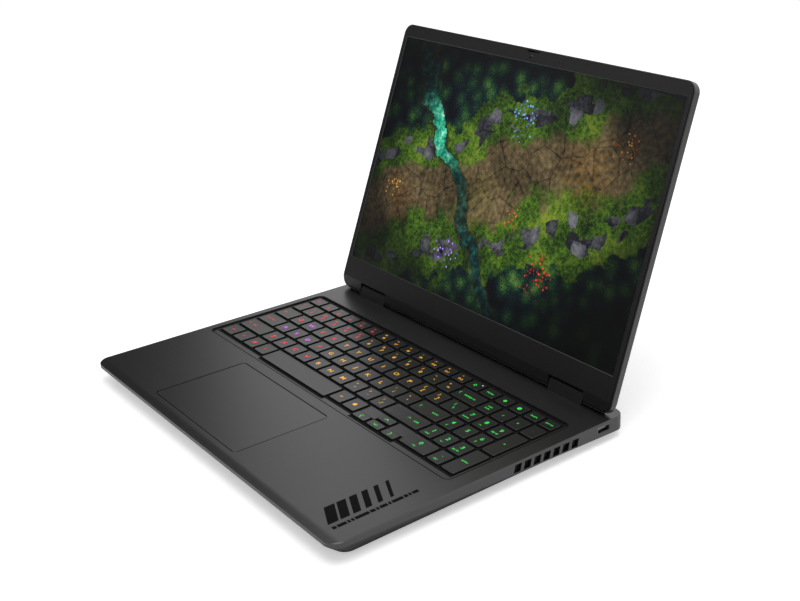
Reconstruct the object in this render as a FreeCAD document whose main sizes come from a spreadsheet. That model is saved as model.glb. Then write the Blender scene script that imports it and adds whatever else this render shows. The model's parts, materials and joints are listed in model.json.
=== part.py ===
import FreeCAD, Part
import Sketcher
import math
import os
from FreeCAD import Placement, Rotation, Vector

# Laptop computer with a 16-inch screen, open on the desk.
# Millimetres. X runs to the user's right, Y away from the user, Z up.
# The origin is on the desk, under the middle of the open laptop.

doc = FreeCAD.newDocument("laptop")
sheet = doc.addObject("Spreadsheet::Sheet", "dims")

sizes = [
    # Base: the deck's outline and the height of its side walls, lower at the front
    ("base_width", 357.0),
    ("base_depth", 263.4),
    ("base_corner", 10.2),
    ("front_reach", 169.9),
    ("deck_height", 17.5),
    ("deck_thickness", 1.3),
    ("deck_edge", 0.8),
    ("case_wall", 1.8),
    ("front_skirt", 4.0),
    ("rear_skirt", 11.5),
    ("roll_length", 7.5),
    ("roll_drop", 1.1),
    # Underside: the cover tapers in from the side walls to a flat floor on rubber feet
    ("foot_height", 2.0),
    ("cover_thickness", 1.2),
    ("cover_side_taper", 8.0),
    ("cover_front_taper", 12.0),
    ("cover_rear_taper", 6.0),
    ("cover_corner", 9.0),
    ("front_foot_length", 62.0),
    ("rear_foot_inset", 28.5),
    ("foot_width", 9.0),
    ("foot_corner", 2.6),
    ("foot_inset", 22.0),
    ("intake_slot", 3.2),
    ("intake_length", 46.0),
    ("intake_pitch", 6.4),
    ("intake_count", 9),
    # Slanted cooling slots in the side walls, square ones in the rear wall
    ("vent_count", 7),
    ("vent_pitch", 9.25),
    ("vent_width", 6.3),
    ("vent_height", 6.2),
    ("vent_lean", 1.4),
    ("vent_slope", 1.3),
    ("vent_below_deck", 4.6),
    ("vent_from_rear", 109.0),
    ("rear_vent_count", 9),
    ("rear_vent_pitch", 6.4),
    ("rear_vent_width", 4.6),
    ("rear_vent_height", 5.6),
    ("rear_vent_below_deck", 6.4),
    ("rear_vent_lead", 25.0),
    # Keyboard: its margins to the deck's sides, its rows, and key widths as ratios to a letter key
    ("keyboard_left", 10.9),
    ("keyboard_right", 17.0),
    ("keyboard_from_rear", 48.0),
    ("main_ratio", 0.7988),
    ("key_ratio", 0.06873),
    ("row_ratio", 0.08519),
    ("function_depth_ratio", 0.7984),
    ("function_ratio", 0.966),
    ("escape_ratio", 0.957),
    ("power_ratio", 0.99),
    ("grave_ratio", 0.825),
    ("tab_ratio", 1.323),
    ("caps_ratio", 1.566),
    ("shift_ratio", 2.07),
    ("control_ratio", 1.074),
    ("space_ratio", 5.424),
    ("low_key_drop", 3.0),
    ("key_gap", 2.3),
    ("key_corner", 1.2),
    ("key_draft", 0.35),
    ("key_below_deck", 0.1),
    ("key_height", 3.1),
    ("key_travel", 1.4),
    ("key_clearance", 0.3),
    ("well_margin", 3.0),
    ("well_front_margin", 6.7),
    ("well_corner", 5.0),
    ("frame_flange", 2.6),
    ("frame_thickness", 1.0),
    ("frame_depth", 3.9),
    ("plate_thickness", 1.1),
    # Touchpad
    ("touchpad_from_front", 11.3),
    ("touchpad_corner", 3.5),
    ("touchpad_gap", 0.4),
    ("touchpad_sink", 0.15),
    ("touchpad_thickness", 1.2),
    ("support_flange", 3.5),
    ("support_depth", 2.6),
    ("support_floor", 0.8),
    # Lid, measured from the hinge axis: up along the lid, and square to it
    ("open_angle", 110.25),
    ("hinge_inset", 12.6),
    ("hinge_rise", 5.15),
    ("lid_inset", 0.7),
    ("lid_overhang", 1.0),
    ("lid_below", 4.2),
    ("lid_behind", 1.9),
    ("lid_corner", 9.5),
    ("lid_wall", 1.0),
    ("lid_rim", 0.9),
    ("rim_ahead", 4.3),
    ("bezel_ahead", 4.75),
    ("bezel_thickness", 2.15),
    ("seal_width", 0.7),
    ("panel_ahead", 4.15),
    ("panel_thickness", 2.3),
    ("panel_border", 1.5),
    ("panel_chin", 7.0),
    ("screen_above_hinge", 24.8),
    ("bezel_side", 5.5),
    ("bezel_top", 11.6),
    ("chin_crease", 5.8),
    ("chin_slope", 2.1),
    # Hinges: a tower on the deck, a barrel inside it and a leaf with a pin in the lid
    ("tower_from_side", 50.0),
    ("tower_width", 37.0),
    ("tower_front", 2.7),
    ("tower_radius", 3.75),
    ("notch_gap", 0.7),
    ("notch_above_hinge", 5.2),
    ("barrel_radius", 2.9),
    ("barrel_length", 30.0),
    ("barrel_gap", 0.1),
    ("pin_radius", 1.2),
    ("pin_clearance", 0.05),
    ("leaf_length", 36.0),
    ("leaf_height", 16.0),
    ("leaf_thickness", 1.0),
    ("bracket_plate", 1.5),
    # Camera above the screen with a sliding privacy shutter
    ("camera_above_screen", 4.9),
    ("camera_hole", 2.6),
    ("camera_width", 60.0),
    ("camera_height", 4.6),
    ("shutter_travel", 14.0),
    ("shutter_rest", 7.7),
    ("shutter_above_camera", 4.3),
    ("shutter_slot", 1.2),
    ("knob_width", 2.6),
    ("blade_thickness", 0.3),
    ("blade_width", 7.0),
    # Cooling, inside
    ("fan_from_side", 47.5),
    ("fan_from_rear", 61.0),
    ("fan_clear", 1.2),
    ("fan_radius", 31.5),
    ("fan_wall", 2.5),
    ("fan_sheet", 0.6),
    ("hub_radius", 13.0),
    ("shaft_radius", 1.5),
    ("shaft_clearance", 0.05),
    ("blade_count", 11),
    ("fin_depth", 7.6),
    ("left_fin_depth", 2.4),
    ("fin_height", 7.6),
    ("fin_pitch", 4.4),
    ("fin_gap", 3.8),
    ("fin_count", 15),
    ("rear_fin_count", 12),
    ("rear_fin_depth", 11.0),
    ("rear_fin_height", 6.4),
    ("pipe_width", 9.0),
    ("pipe_thickness", 2.5),
    ("pipe_bend", 14.0),
    # Electronics, inside
    ("board_gap", 5.0),
    ("board_thickness", 1.2),
    ("board_standoff", 1.2),
    ("chip_height", 1.2),
    ("chip_width", 28.0),
    ("memory_thickness", 1.2),
    ("drive_depth", 22.0),
    ("drive_thickness", 2.2),
    ("card_length", 30.0),
    ("card_thickness", 1.6),
    ("stick_margin", 8.0),
    ("battery_height", 6.6),
    ("speaker_clear", 22.5),
    ("speaker_height", 8.0),
    # Sockets in the side and rear walls
    ("socket_length", 12.0),
    ("socket_wall", 0.4),
    ("socket_gap", 0.15),
    ("usb_width", 12.6),
    ("usb_height", 5.2),
    ("usb_from_rear", 24.0),
    ("left_usb_from_rear", 33.7),
    ("usb_below_deck", 5.0),
    ("network_width", 15.0),
    ("network_height", 8.6),
    ("network_from_rear", 18.0),
    ("network_below_deck", 6.1),
    ("jack_radius", 2.5),
    ("jack_bore", 1.7),
    ("jack_below_deck", 3.9),
    ("video_width", 15.2),
    ("video_height", 5.6),
    ("video_from_middle", 36.0),
    ("usb_c_width", 9.4),
    ("usb_c_height", 3.6),
    ("usb_c_pitch", 18.0),
    ("power_width_outer", 11.5),
    ("power_height_outer", 5.0),
    ("power_from_middle", 62.0),
    ("rear_socket_below_deck", 6.4),
]
# Sizes that follow the base's width and depth, so that the pieces keep their places when these change
following = [
    ("lid_width", "base_width - 2 * lid_inset"),
    ("lid_above", "base_depth - hinge_inset + lid_overhang"),
    ("screen_width", "lid_width - 2 * bezel_side"),
    ("screen_height", "lid_above - screen_above_hinge - bezel_top"),
    ("keyboard_shift", "(keyboard_left - keyboard_right) / 2"),
    ("keyboard_width", "base_width - keyboard_left - keyboard_right"),
    ("main_width", "keyboard_width * main_ratio"),
    ("pad_pitch", "(keyboard_width - main_width) / 4"),
    ("key_pitch", "main_width * key_ratio"),
    ("row_pitch", "(base_depth - keyboard_from_rear) * row_ratio"),
    ("function_depth", "row_pitch * function_depth_ratio"),
    ("touchpad_width", "base_width * 0.353"),
    ("touchpad_depth", "(base_depth - keyboard_from_rear) * 0.3714"),
    ("touchpad_shift", "-base_width * 0.0784"),
    ("tower_from_middle", "base_width / 2 - tower_from_side"),
    ("fan_from_middle", "base_width / 2 - fan_from_side"),
    ("rear_vent_start", "fan_from_middle - rear_vent_lead"),
    ("rear_foot_length", "base_width - 2 * rear_foot_inset"),
    ("board_width", "2 * (fan_from_middle - fan_radius - fan_wall - board_gap)"),
    ("board_depth", "base_depth * 0.4252"),
    ("chip_back", "board_depth * 0.2"),
    ("chip_depth", "board_depth * 0.214"),
    ("memory_length", "board_width * 0.37"),
    ("memory_depth", "board_depth * 0.268"),
    ("memory_pitch", "board_depth * 0.286"),
    ("drive_length", "board_width * 0.435"),
    ("battery_width", "base_width * 0.6387"),
    ("battery_depth", "base_depth * 0.2809"),
    ("speaker_width", "(base_width - battery_width) / 2 - speaker_clear"),
    ("speaker_depth", "base_depth * 0.2506"),
    ("jack_from_rear", "base_depth * 0.6568"),
    ("floor_height", "foot_height + cover_thickness"),
    ("plate_height", "deck_height - deck_thickness - frame_depth - plate_thickness"),
    ("fan_height", "plate_height - floor_height - fan_clear"),
]
cells = [(alias, str(number)) for alias, number in sizes]
cells += [(alias, "=" + formula) for alias, formula in following]
for row, (alias, content) in enumerate(cells, 1):
    sheet.set("A" + str(row), alias)
    sheet.set("B" + str(row), content)
    sheet.setAlias("B" + str(row), alias)
doc.recompute()

# Lines and levels that several pieces share, as expressions on the sheet
frontEdge = "(-dims.front_reach)"
rearEdge = "(dims.base_depth - dims.front_reach)"
baseMiddle = "(dims.base_depth / 2 - dims.front_reach)"
deckUnder = "(dims.deck_height - dims.deck_thickness)"
floorTop = "dims.floor_height"
hingeY = "(dims.base_depth - dims.front_reach - dims.hinge_inset)"
hingeZ = "(dims.deck_height + dims.hinge_rise)"
skirtSlope = "((dims.rear_skirt - dims.front_skirt) / dims.base_depth)"
keyboardDepth = "(dims.function_depth + 5 * dims.row_pitch)"
keyboardBack = "(dims.base_depth - dims.front_reach - dims.keyboard_from_rear)"
wellWidth = "(dims.keyboard_width + 2 * dims.well_margin)"
wellDepth = f"({keyboardDepth} + dims.well_margin + dims.well_front_margin)"
wellMiddle = f"({keyboardBack} + dims.well_margin - {wellDepth} / 2)"
plateUnder = "dims.plate_height"
boardUnder = f"({plateUnder} - dims.board_standoff - dims.board_thickness)"
boardMiddle = f"({wellMiddle} + 2)"
pipeTop = f"({boardUnder} - dims.chip_height)"
touchpadMiddle = "(dims.touchpad_from_front + dims.touchpad_depth / 2 - dims.front_reach)"
wallFace = "(dims.base_width / 2)"
wallInside = "(dims.base_width / 2 - dims.case_wall)"
lidHeight = "(dims.lid_above + dims.lid_below)"
lidMiddle = "((dims.lid_above - dims.lid_below) / 2)"
bezelInset = "(dims.lid_rim + dims.seal_width)"
screenMiddle = "(dims.screen_above_hinge + dims.screen_height / 2)"
panelWidth = "(dims.screen_width + 2 * dims.panel_border)"
panelHeight = "(dims.screen_height + dims.panel_border + dims.panel_chin)"
panelMiddle = f"({screenMiddle} + (dims.panel_border - dims.panel_chin) / 2)"
cameraY = "(dims.screen_above_hinge + dims.screen_height + dims.camera_above_screen)"
shutterY = f"({cameraY} + dims.shutter_above_camera)"

nodes = []


def size(expression):
    return float(sheet.evalExpression(expression))


def bind(piece, **expressions):
    for name, expression in expressions.items():
        piece.setExpression(name.replace("_", "."), expression)


def finished(piece, label):
    piece.Label = label
    nodes.append(piece)
    return piece


def onLid(piece):
    # Lid pieces are drawn from the hinge axis, Y up the lid and Z out of the screen, then tilted open.
    piece.Placement = Placement(Vector(0, 1, 1), Rotation(Vector(1, 0, 0), 60))
    bind(piece, Placement_Base_y=hingeY, Placement_Base_z=hingeZ)
    bind(piece, Placement_Rotation_Angle="180 - dims.open_angle")
    return piece


def mirrored(piece, label):
    copy = doc.addObject("Part::Mirroring", label)
    copy.Source = piece
    copy.Normal = Vector(1, 0, 0)
    return copy


def group(label, pieces):
    compound = doc.addObject("Part::Compound", label)
    compound.Links = pieces
    return compound


def bodyNamed(label):
    return doc.addObject("PartDesign::Body", label)


def sketchOn(body, name, plane, x="0", y="0", z="0"):
    sketch = body.newObject("Sketcher::SketchObject", name)
    support = next(f for f in body.Origin.OriginFeatures if f.Role == plane)
    sketch.AttachmentSupport = [(support, "")]
    sketch.MapMode = "FlatFace"
    bind(sketch, AttachmentOffset_Base_x=x, AttachmentOffset_Base_y=y, AttachmentOffset_Base_z=z)
    return sketch


def measure(sketch, kind, places, expression):
    # One driving constraint whose value follows the sheet
    index = sketch.addConstraint(Sketcher.Constraint(kind, *places, size(expression)))
    sketch.setExpression("Constraints[" + str(index) + "]", expression)


def tie(sketch, kind, *places):
    sketch.addConstraint(Sketcher.Constraint(kind, *places))


def polygon(sketch, points):
    # Closed outline through points given as pairs of expressions
    spots = [Vector(size(x), size(y), 0) for x, y in points]
    lines = []
    for start, end in zip(spots, spots[1:] + spots[:1]):
        lines.append(sketch.addGeometry(Part.LineSegment(start, end)))
    for line, following, (x, y) in zip(lines, lines[1:] + lines[:1], points):
        tie(sketch, "Coincident", line, 2, following, 1)
        measure(sketch, "DistanceX", (-1, 1, line, 1), x)
        measure(sketch, "DistanceY", (-1, 1, line, 1), y)
    return sketch


def rectangle(sketch, width, depth, radius):
    # Rectangle with rounded corners round the sketch's own origin
    w, d, r = size(width) / 2, size(depth) / 2, size(radius)
    corners = [(w, -d), (w, d), (-w, d), (-w, -d)]
    turns = [(-1, 1), (-1, -1), (1, -1), (1, 1)]
    centres = [Vector(x + r * i, y + r * j, 0) for (x, y), (i, j) in zip(corners, turns)]
    steps = [Vector(0, -r, 0), Vector(r, 0, 0), Vector(0, r, 0), Vector(-r, 0, 0)]
    lines, arcs = [], []
    for k in range(4):
        start, end = centres[k - 1] + steps[k], centres[k] + steps[k]
        lines.append(sketch.addGeometry(Part.LineSegment(start, end)))
    for k in range(4):
        circle = Part.Circle(centres[k], Vector(0, 0, 1), r)
        first = (k - 1) * math.pi / 2
        arcs.append(sketch.addGeometry(Part.ArcOfCircle(circle, first, first + math.pi / 2)))
    for k in range(4):
        tie(sketch, "Tangent", lines[k], 2, arcs[k], 1)
        tie(sketch, "Tangent", arcs[k], 2, lines[(k + 1) % 4], 1)
        tie(sketch, "Horizontal" if k % 2 == 0 else "Vertical", lines[k])
    for arc in arcs[1:]:
        tie(sketch, "Equal", arcs[0], arc)
    measure(sketch, "Radius", (arcs[0],), radius)
    measure(sketch, "DistanceX", (lines[3], 1, lines[1], 1), width)
    measure(sketch, "DistanceY", (lines[0], 1, lines[2], 1), depth)
    tie(sketch, "Symmetric", lines[0], 1, lines[2], 1, -1, 1)
    return sketch


def square(sketch, width, depth):
    # Rectangle with sharp corners round the sketch's own origin
    w, d = f"({width}) / 2", f"({depth}) / 2"
    return polygon(sketch, [(f"-{w}", f"-{d}"), (w, f"-{d}"), (w, d), (f"-{w}", d)])


def cutCorners(sketch, width, depth, corner):
    # Rectangle round the sketch's own origin, its corners cut at 45 degrees
    w, d = f"({width}) / 2", f"({depth}) / 2"
    short, low = f"({w} - {corner})", f"({d} - {corner})"
    return polygon(sketch, [(f"-{short}", f"-{d}"), (short, f"-{d}"), (w, f"-{low}"), (w, low),
                            (short, d), (f"-{short}", d), (f"-{w}", low), (f"-{w}", f"-{low}")])


def disc(sketch, radius, x="0", y="0"):
    circle = sketch.addGeometry(Part.Circle(Vector(size(x), size(y), 0), Vector(0, 0, 1), size(radius)))
    measure(sketch, "Radius", (circle,), radius)
    measure(sketch, "DistanceX", (-1, 1, circle, 3), x)
    measure(sketch, "DistanceY", (-1, 1, circle, 3), y)
    return sketch


def pad(body, sketch, length, symmetric=False):
    feature = body.newObject("PartDesign::Pad", sketch.Name + "Pad")
    feature.Profile = sketch
    feature.setExpression("Length", length)
    if symmetric:
        feature.SideType = "Symmetric"
    return feature


def pocket(body, sketch, length=None, symmetric=False, along=False):
    # Cuts against the sketch's normal, or along it; through everything unless given a length
    feature = body.newObject("PartDesign::Pocket", sketch.Name + "Pocket")
    feature.Profile = sketch
    feature.Reversed = along
    if length is None:
        feature.Type = "ThroughAll"
    else:
        feature.setExpression("Length", length)
    if symmetric:
        feature.SideType = "Symmetric"
    return feature


def repeat(body, feature, sketch, axis, pitch, count):
    pattern = body.newObject("PartDesign::LinearPattern", feature.Name + "Row")
    pattern.Originals = [feature]
    pattern.Direction = (sketch, [axis])
    pattern.setExpression("Length", f"({count} - 1) * {pitch}")
    pattern.setExpression("Occurrences", count)
    body.Tip = pattern
    return pattern


def bevel(body, feature, level, amount):
    # Chamfers every edge that lies at one height
    doc.recompute()
    height = size(level)
    names = []
    for index, edge in enumerate(feature.Shape.Edges, 1):
        if abs(edge.BoundBox.ZMin - height) < 1e-4 and abs(edge.BoundBox.ZMax - height) < 1e-4:
            names.append("Edge" + str(index))
    chamfer = body.newObject("PartDesign::Chamfer", feature.Name + "Bevel")
    chamfer.Base = (feature, names)
    chamfer.setExpression("Size", amount)
    return chamfer


def box(name, x, y, z, length, width, height):
    # Block from its low corner
    block = doc.addObject("Part::Box", name)
    bind(block, Length=length, Width=width, Height=height)
    bind(block, Placement_Base_x=x, Placement_Base_y=y, Placement_Base_z=z)
    return block


def rod(name, x, y, z, radius, height, turn=None):
    # Cylinder standing on a point, or turned to lie along X or Y
    cylinder = doc.addObject("Part::Cylinder", name)
    if turn == "X":
        cylinder.Placement = Placement(Vector(), Rotation(Vector(0, 1, 0), 90))
    if turn == "Y":
        cylinder.Placement = Placement(Vector(), Rotation(Vector(1, 0, 0), -90))
    bind(cylinder, Radius=radius, Height=height)
    bind(cylinder, Placement_Base_x=x, Placement_Base_y=y, Placement_Base_z=z)
    return cylinder


def cut(name, base, tool):
    result = doc.addObject("Part::Cut", name)
    result.Base = base
    result.Tool = tool
    return result


def fuse(name, pieces):
    result = doc.addObject("Part::MultiFuse", name)
    result.Shapes = pieces
    return result


# Top case: deck and side walls in one, open below
def buildTopCase():
    body = bodyNamed("top_case")
    low = "(dims.deck_height - dims.rear_skirt)"
    outline = sketchOn(body, "caseOutline", "XY_Plane", "0", baseMiddle, low)
    rectangle(outline, "dims.base_width", "dims.base_depth", "dims.base_corner")
    block = pad(body, outline, "dims.rear_skirt")
    bevel(body, block, "dims.deck_height", "dims.deck_edge")
    rollFrontEdge(body)
    # The side walls' lower edge rises towards the front
    slant = sketchOn(body, "caseSlant", "YZ_Plane")
    polygon(slant, [
        (f"{frontEdge} - 2", f"dims.deck_height - dims.front_skirt + 2 * {skirtSlope}"),
        (f"{frontEdge} - 2", f"{low} - 2"),
        (f"{rearEdge} + 2", f"{low} - 2"),
        (f"{rearEdge} + 2", f"{low} - 2 * {skirtSlope}"),
    ])
    pocket(body, slant, symmetric=True)
    hollow = sketchOn(body, "caseHollow", "XY_Plane", "0", baseMiddle, deckUnder)
    rectangle(hollow, "dims.base_width - 2 * dims.case_wall", "dims.base_depth - 2 * dims.case_wall",
              "dims.base_corner - dims.case_wall")
    pocket(body, hollow, "dims.rear_skirt + 2")
    well = sketchOn(body, "keyboardWell", "XY_Plane", "dims.keyboard_shift", wellMiddle, "dims.deck_height")
    rectangle(well, wellWidth, wellDepth, "dims.well_corner")
    pocket(body, well)
    window = sketchOn(body, "touchpadWindow", "XY_Plane", "dims.touchpad_shift", touchpadMiddle,
                      "dims.deck_height")
    rectangle(window, "dims.touchpad_width + 2 * dims.touchpad_gap",
              "dims.touchpad_depth + 2 * dims.touchpad_gap", "dims.touchpad_corner + dims.touchpad_gap")
    pocket(body, window)
    cutVents(body)
    cutSockets(body)
    for side in ("-", ""):
        slot = sketchOn(body, "bracketSlot", "XY_Plane", f"{side}dims.tower_from_middle", hingeY,
                        "dims.deck_height")
        square(slot, "dims.barrel_length / 2 + 1", "2 * dims.bracket_plate + 0.6")
        pocket(body, slot)
    doc.recompute()
    return finished(body, "top_case")


# The deck curves down over its last few millimetres at the front
def rollFrontEdge(body):
    sketch = sketchOn(body, "frontRoll", "YZ_Plane")
    start = f"{frontEdge} + dims.roll_length"
    bend = "((dims.roll_length ^ 2 + dims.roll_drop ^ 2) / (2 * dims.roll_drop))"
    ahead, y, z, r = size(f"{frontEdge} - 1"), size(start), size("dims.deck_height"), size(bend)
    foot = Vector(ahead, z - r + math.sqrt(r * r - (y - ahead) ** 2), 0)
    top = [Vector(y, z, 0), Vector(y, z + 1, 0), Vector(ahead, z + 1, 0), foot]
    lines = [sketch.addGeometry(Part.LineSegment(a, b)) for a, b in zip(top, top[1:])]
    circle = Part.Circle(Vector(y, z - r, 0), Vector(0, 0, 1), r)
    arc = sketch.addGeometry(Part.ArcOfCircle(circle, math.pi / 2, math.atan2(foot.y - z + r, ahead - y)))
    tie(sketch, "Coincident", lines[0], 2, lines[1], 1)
    tie(sketch, "Coincident", lines[1], 2, lines[2], 1)
    tie(sketch, "Coincident", lines[2], 2, arc, 2)
    tie(sketch, "Coincident", lines[0], 1, arc, 1)
    tie(sketch, "Vertical", lines[0])
    tie(sketch, "Horizontal", lines[1])
    tie(sketch, "Vertical", lines[2])
    tie(sketch, "Vertical", arc, 3, arc, 1)
    measure(sketch, "DistanceX", (-1, 1, arc, 1), start)
    measure(sketch, "DistanceY", (-1, 1, arc, 1), "dims.deck_height")
    measure(sketch, "Radius", (arc,), bend)
    measure(sketch, "DistanceX", (-1, 1, lines[1], 2), f"{frontEdge} - 1")
    measure(sketch, "DistanceY", (-1, 1, lines[1], 2), "dims.deck_height + 1")
    pocket(body, sketch, symmetric=True)


# Leaning slots through both side walls, and a row of square ones at each end of the rear wall
def cutVents(body):
    first = f"({rearEdge} - dims.vent_from_rear)"
    slot = sketchOn(body, "sideVent", "YZ_Plane", first, "dims.deck_height - dims.vent_below_deck")
    slot.AttachmentOffset = Placement(slot.AttachmentOffset.Base, Rotation(Vector(0, 0, 1), -1))
    bind(slot, AttachmentOffset_Rotation_Angle="-dims.vent_slope")
    half, tall, lean = "dims.vent_width / 2", "dims.vent_height / 2", "dims.vent_lean / 2"
    polygon(slot, [(f"-{half} - {lean}", f"-{tall}"), (f"{half} - {lean}", f"-{tall}"),
                   (f"{half} + {lean}", tall), (f"-{half} + {lean}", tall)])
    repeat(body, pocket(body, slot, symmetric=True), slot, "H_Axis", "dims.vent_pitch", "dims.vent_count")
    last = "(dims.rear_vent_start + (dims.rear_vent_count - 1) * dims.rear_vent_pitch)"
    for start in ("dims.rear_vent_start", f"-{last}"):
        gap = sketchOn(body, "rearVent", "XZ_Plane", start,
                       "dims.deck_height - dims.rear_vent_below_deck", f"-{rearEdge}")
        square(gap, "dims.rear_vent_width", "dims.rear_vent_height")
        cutter = pocket(body, gap, "dims.case_wall + 1", along=True)
        repeat(body, cutter, gap, "H_Axis", "dims.rear_vent_pitch", "dims.rear_vent_count")


# Openings for the sockets, each a little larger than the socket's nose
def cutSockets(body):
    gap = "+ 2 * dims.socket_gap"
    below = "dims.deck_height - dims.usb_below_deck"
    spots = [
        ("rightUsbHole", "YZ_Plane", f"{rearEdge} - dims.usb_from_rear", below, wallFace, "usb", False),
        ("leftUsbHole", "YZ_Plane", f"{rearEdge} - dims.left_usb_from_rear", below,
         f"-{wallFace}", "usb", True),
        ("networkHole", "YZ_Plane", f"{rearEdge} - dims.network_from_rear",
         "dims.deck_height - dims.network_below_deck", f"-{wallFace}", "network", True),
    ]
    rear = "dims.deck_height - dims.rear_socket_below_deck"
    for name, x, kind in (("videoHole", "dims.video_from_middle", "video"),
                          ("powerHole", "-dims.power_from_middle", "power"),
                          ("usbCHole", "-dims.usb_c_pitch / 2", "usb_c"),
                          ("usbCHole", "dims.usb_c_pitch / 2", "usb_c")):
        spots.append((name, "XZ_Plane", x, rear, f"-{rearEdge}", kind, True))
    for name, plane, x, y, z, kind, along in spots:
        tail = "_outer" if kind == "power" else ""
        hole = sketchOn(body, name, plane, x, y, z)
        square(hole, f"dims.{kind}_width{tail} {gap}", f"dims.{kind}_height{tail} {gap}")
        pocket(body, hole, "dims.case_wall + 1", along=along)
    jack = sketchOn(body, "jackHole", "YZ_Plane", f"{rearEdge} - dims.jack_from_rear",
                    "dims.deck_height - dims.jack_below_deck", f"-{wallFace}")
    disc(jack, "dims.jack_radius + dims.socket_gap")
    pocket(body, jack, "dims.case_wall + 1", along=True)


# Bottom cover: a shallow tray that tapers in from the slanted edge of the side walls to a flat floor
def buildBottomCover():
    body = bodyNamed("bottom_cover")
    slope = f"atan({skirtSlope})"
    rim = "(dims.deck_height - (dims.front_skirt + dims.rear_skirt) / 2)"
    flatWidth = "(dims.base_width - 2 * dims.cover_side_taper)"
    flatDepth = "(dims.base_depth - dims.cover_front_taper - dims.cover_rear_taper)"
    flatMiddle = f"({baseMiddle} + (dims.cover_front_taper - dims.cover_rear_taper) / 2)"

    def section(name, level, inset, tilted):
        middle = baseMiddle if tilted else flatMiddle
        sketch = sketchOn(body, name, "XY_Plane", "0", middle, level)
        if tilted:
            sketch.AttachmentOffset = Placement(sketch.AttachmentOffset.Base, Rotation(Vector(1, 0, 0), -1))
            bind(sketch, AttachmentOffset_Rotation_Angle=f"-{slope}")
            rectangle(sketch, f"dims.base_width - 2 * {inset}", f"dims.base_depth / cos({slope}) - 2 * {inset}",
                      f"dims.base_corner - {inset}")
        else:
            rectangle(sketch, f"{flatWidth} - 2 * {inset}", f"{flatDepth} - 2 * {inset}",
                      f"dims.cover_corner - {inset}")
        return sketch

    for kind, names, levels, inset in (
            ("AdditiveLoft", ("coverRim", "coverFlat"), (rim, "dims.foot_height"), "0"),
            ("SubtractiveLoft", ("coverRimInside", "coverFlatInside"), (rim, floorTop),
             "dims.cover_thickness")):
        upper = section(names[0], levels[0], inset, True)
        lower = section(names[1], levels[1], inset, False)
        loft = body.newObject("PartDesign::" + kind, names[0] + "Loft")
        loft.Profile = upper
        loft.Sections = [lower]
        loft.Ruled = True
    # Air intakes below the fans
    start = "(dims.fan_from_middle - (dims.intake_count - 1) * dims.intake_pitch / 2)"
    for side in ("", "-"):
        x = start if side == "" else f"-{start} - (dims.intake_count - 1) * dims.intake_pitch"
        slot = sketchOn(body, "intake", "XY_Plane", x, f"{rearEdge} - dims.fan_from_rear", floorTop)
        square(slot, "dims.intake_slot", "dims.intake_length")
        repeat(body, pocket(body, slot, "2 * dims.cover_thickness"), slot, "H_Axis",
               "dims.intake_pitch", "dims.intake_count")
    doc.recompute()
    return finished(body, "bottom_cover")


# Rubber feet: one long bar at the rear and a short one at each front corner
def buildFeet():
    rear = bodyNamed("rear_foot")
    bar = sketchOn(rear, "rearFootOutline", "XY_Plane", "0", f"{rearEdge} - dims.foot_inset")
    cutCorners(bar, "dims.rear_foot_length", "dims.foot_width", "dims.foot_corner")
    pad(rear, bar, "dims.foot_height")
    finished(rear, "rear_foot")
    front = bodyNamed("frontFootRight")
    pill = sketchOn(front, "frontFootOutline", "XY_Plane",
                    "dims.base_width / 2 - dims.foot_inset - dims.front_foot_length / 2 - 6",
                    f"{frontEdge} + dims.foot_inset")
    cutCorners(pill, "dims.front_foot_length", "dims.foot_width", "dims.foot_corner")
    pad(front, pill, "dims.foot_height")
    doc.recompute()
    finished(group("frontFeet", [front, mirrored(front, "frontFootLeft")]), "front_feet")


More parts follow.
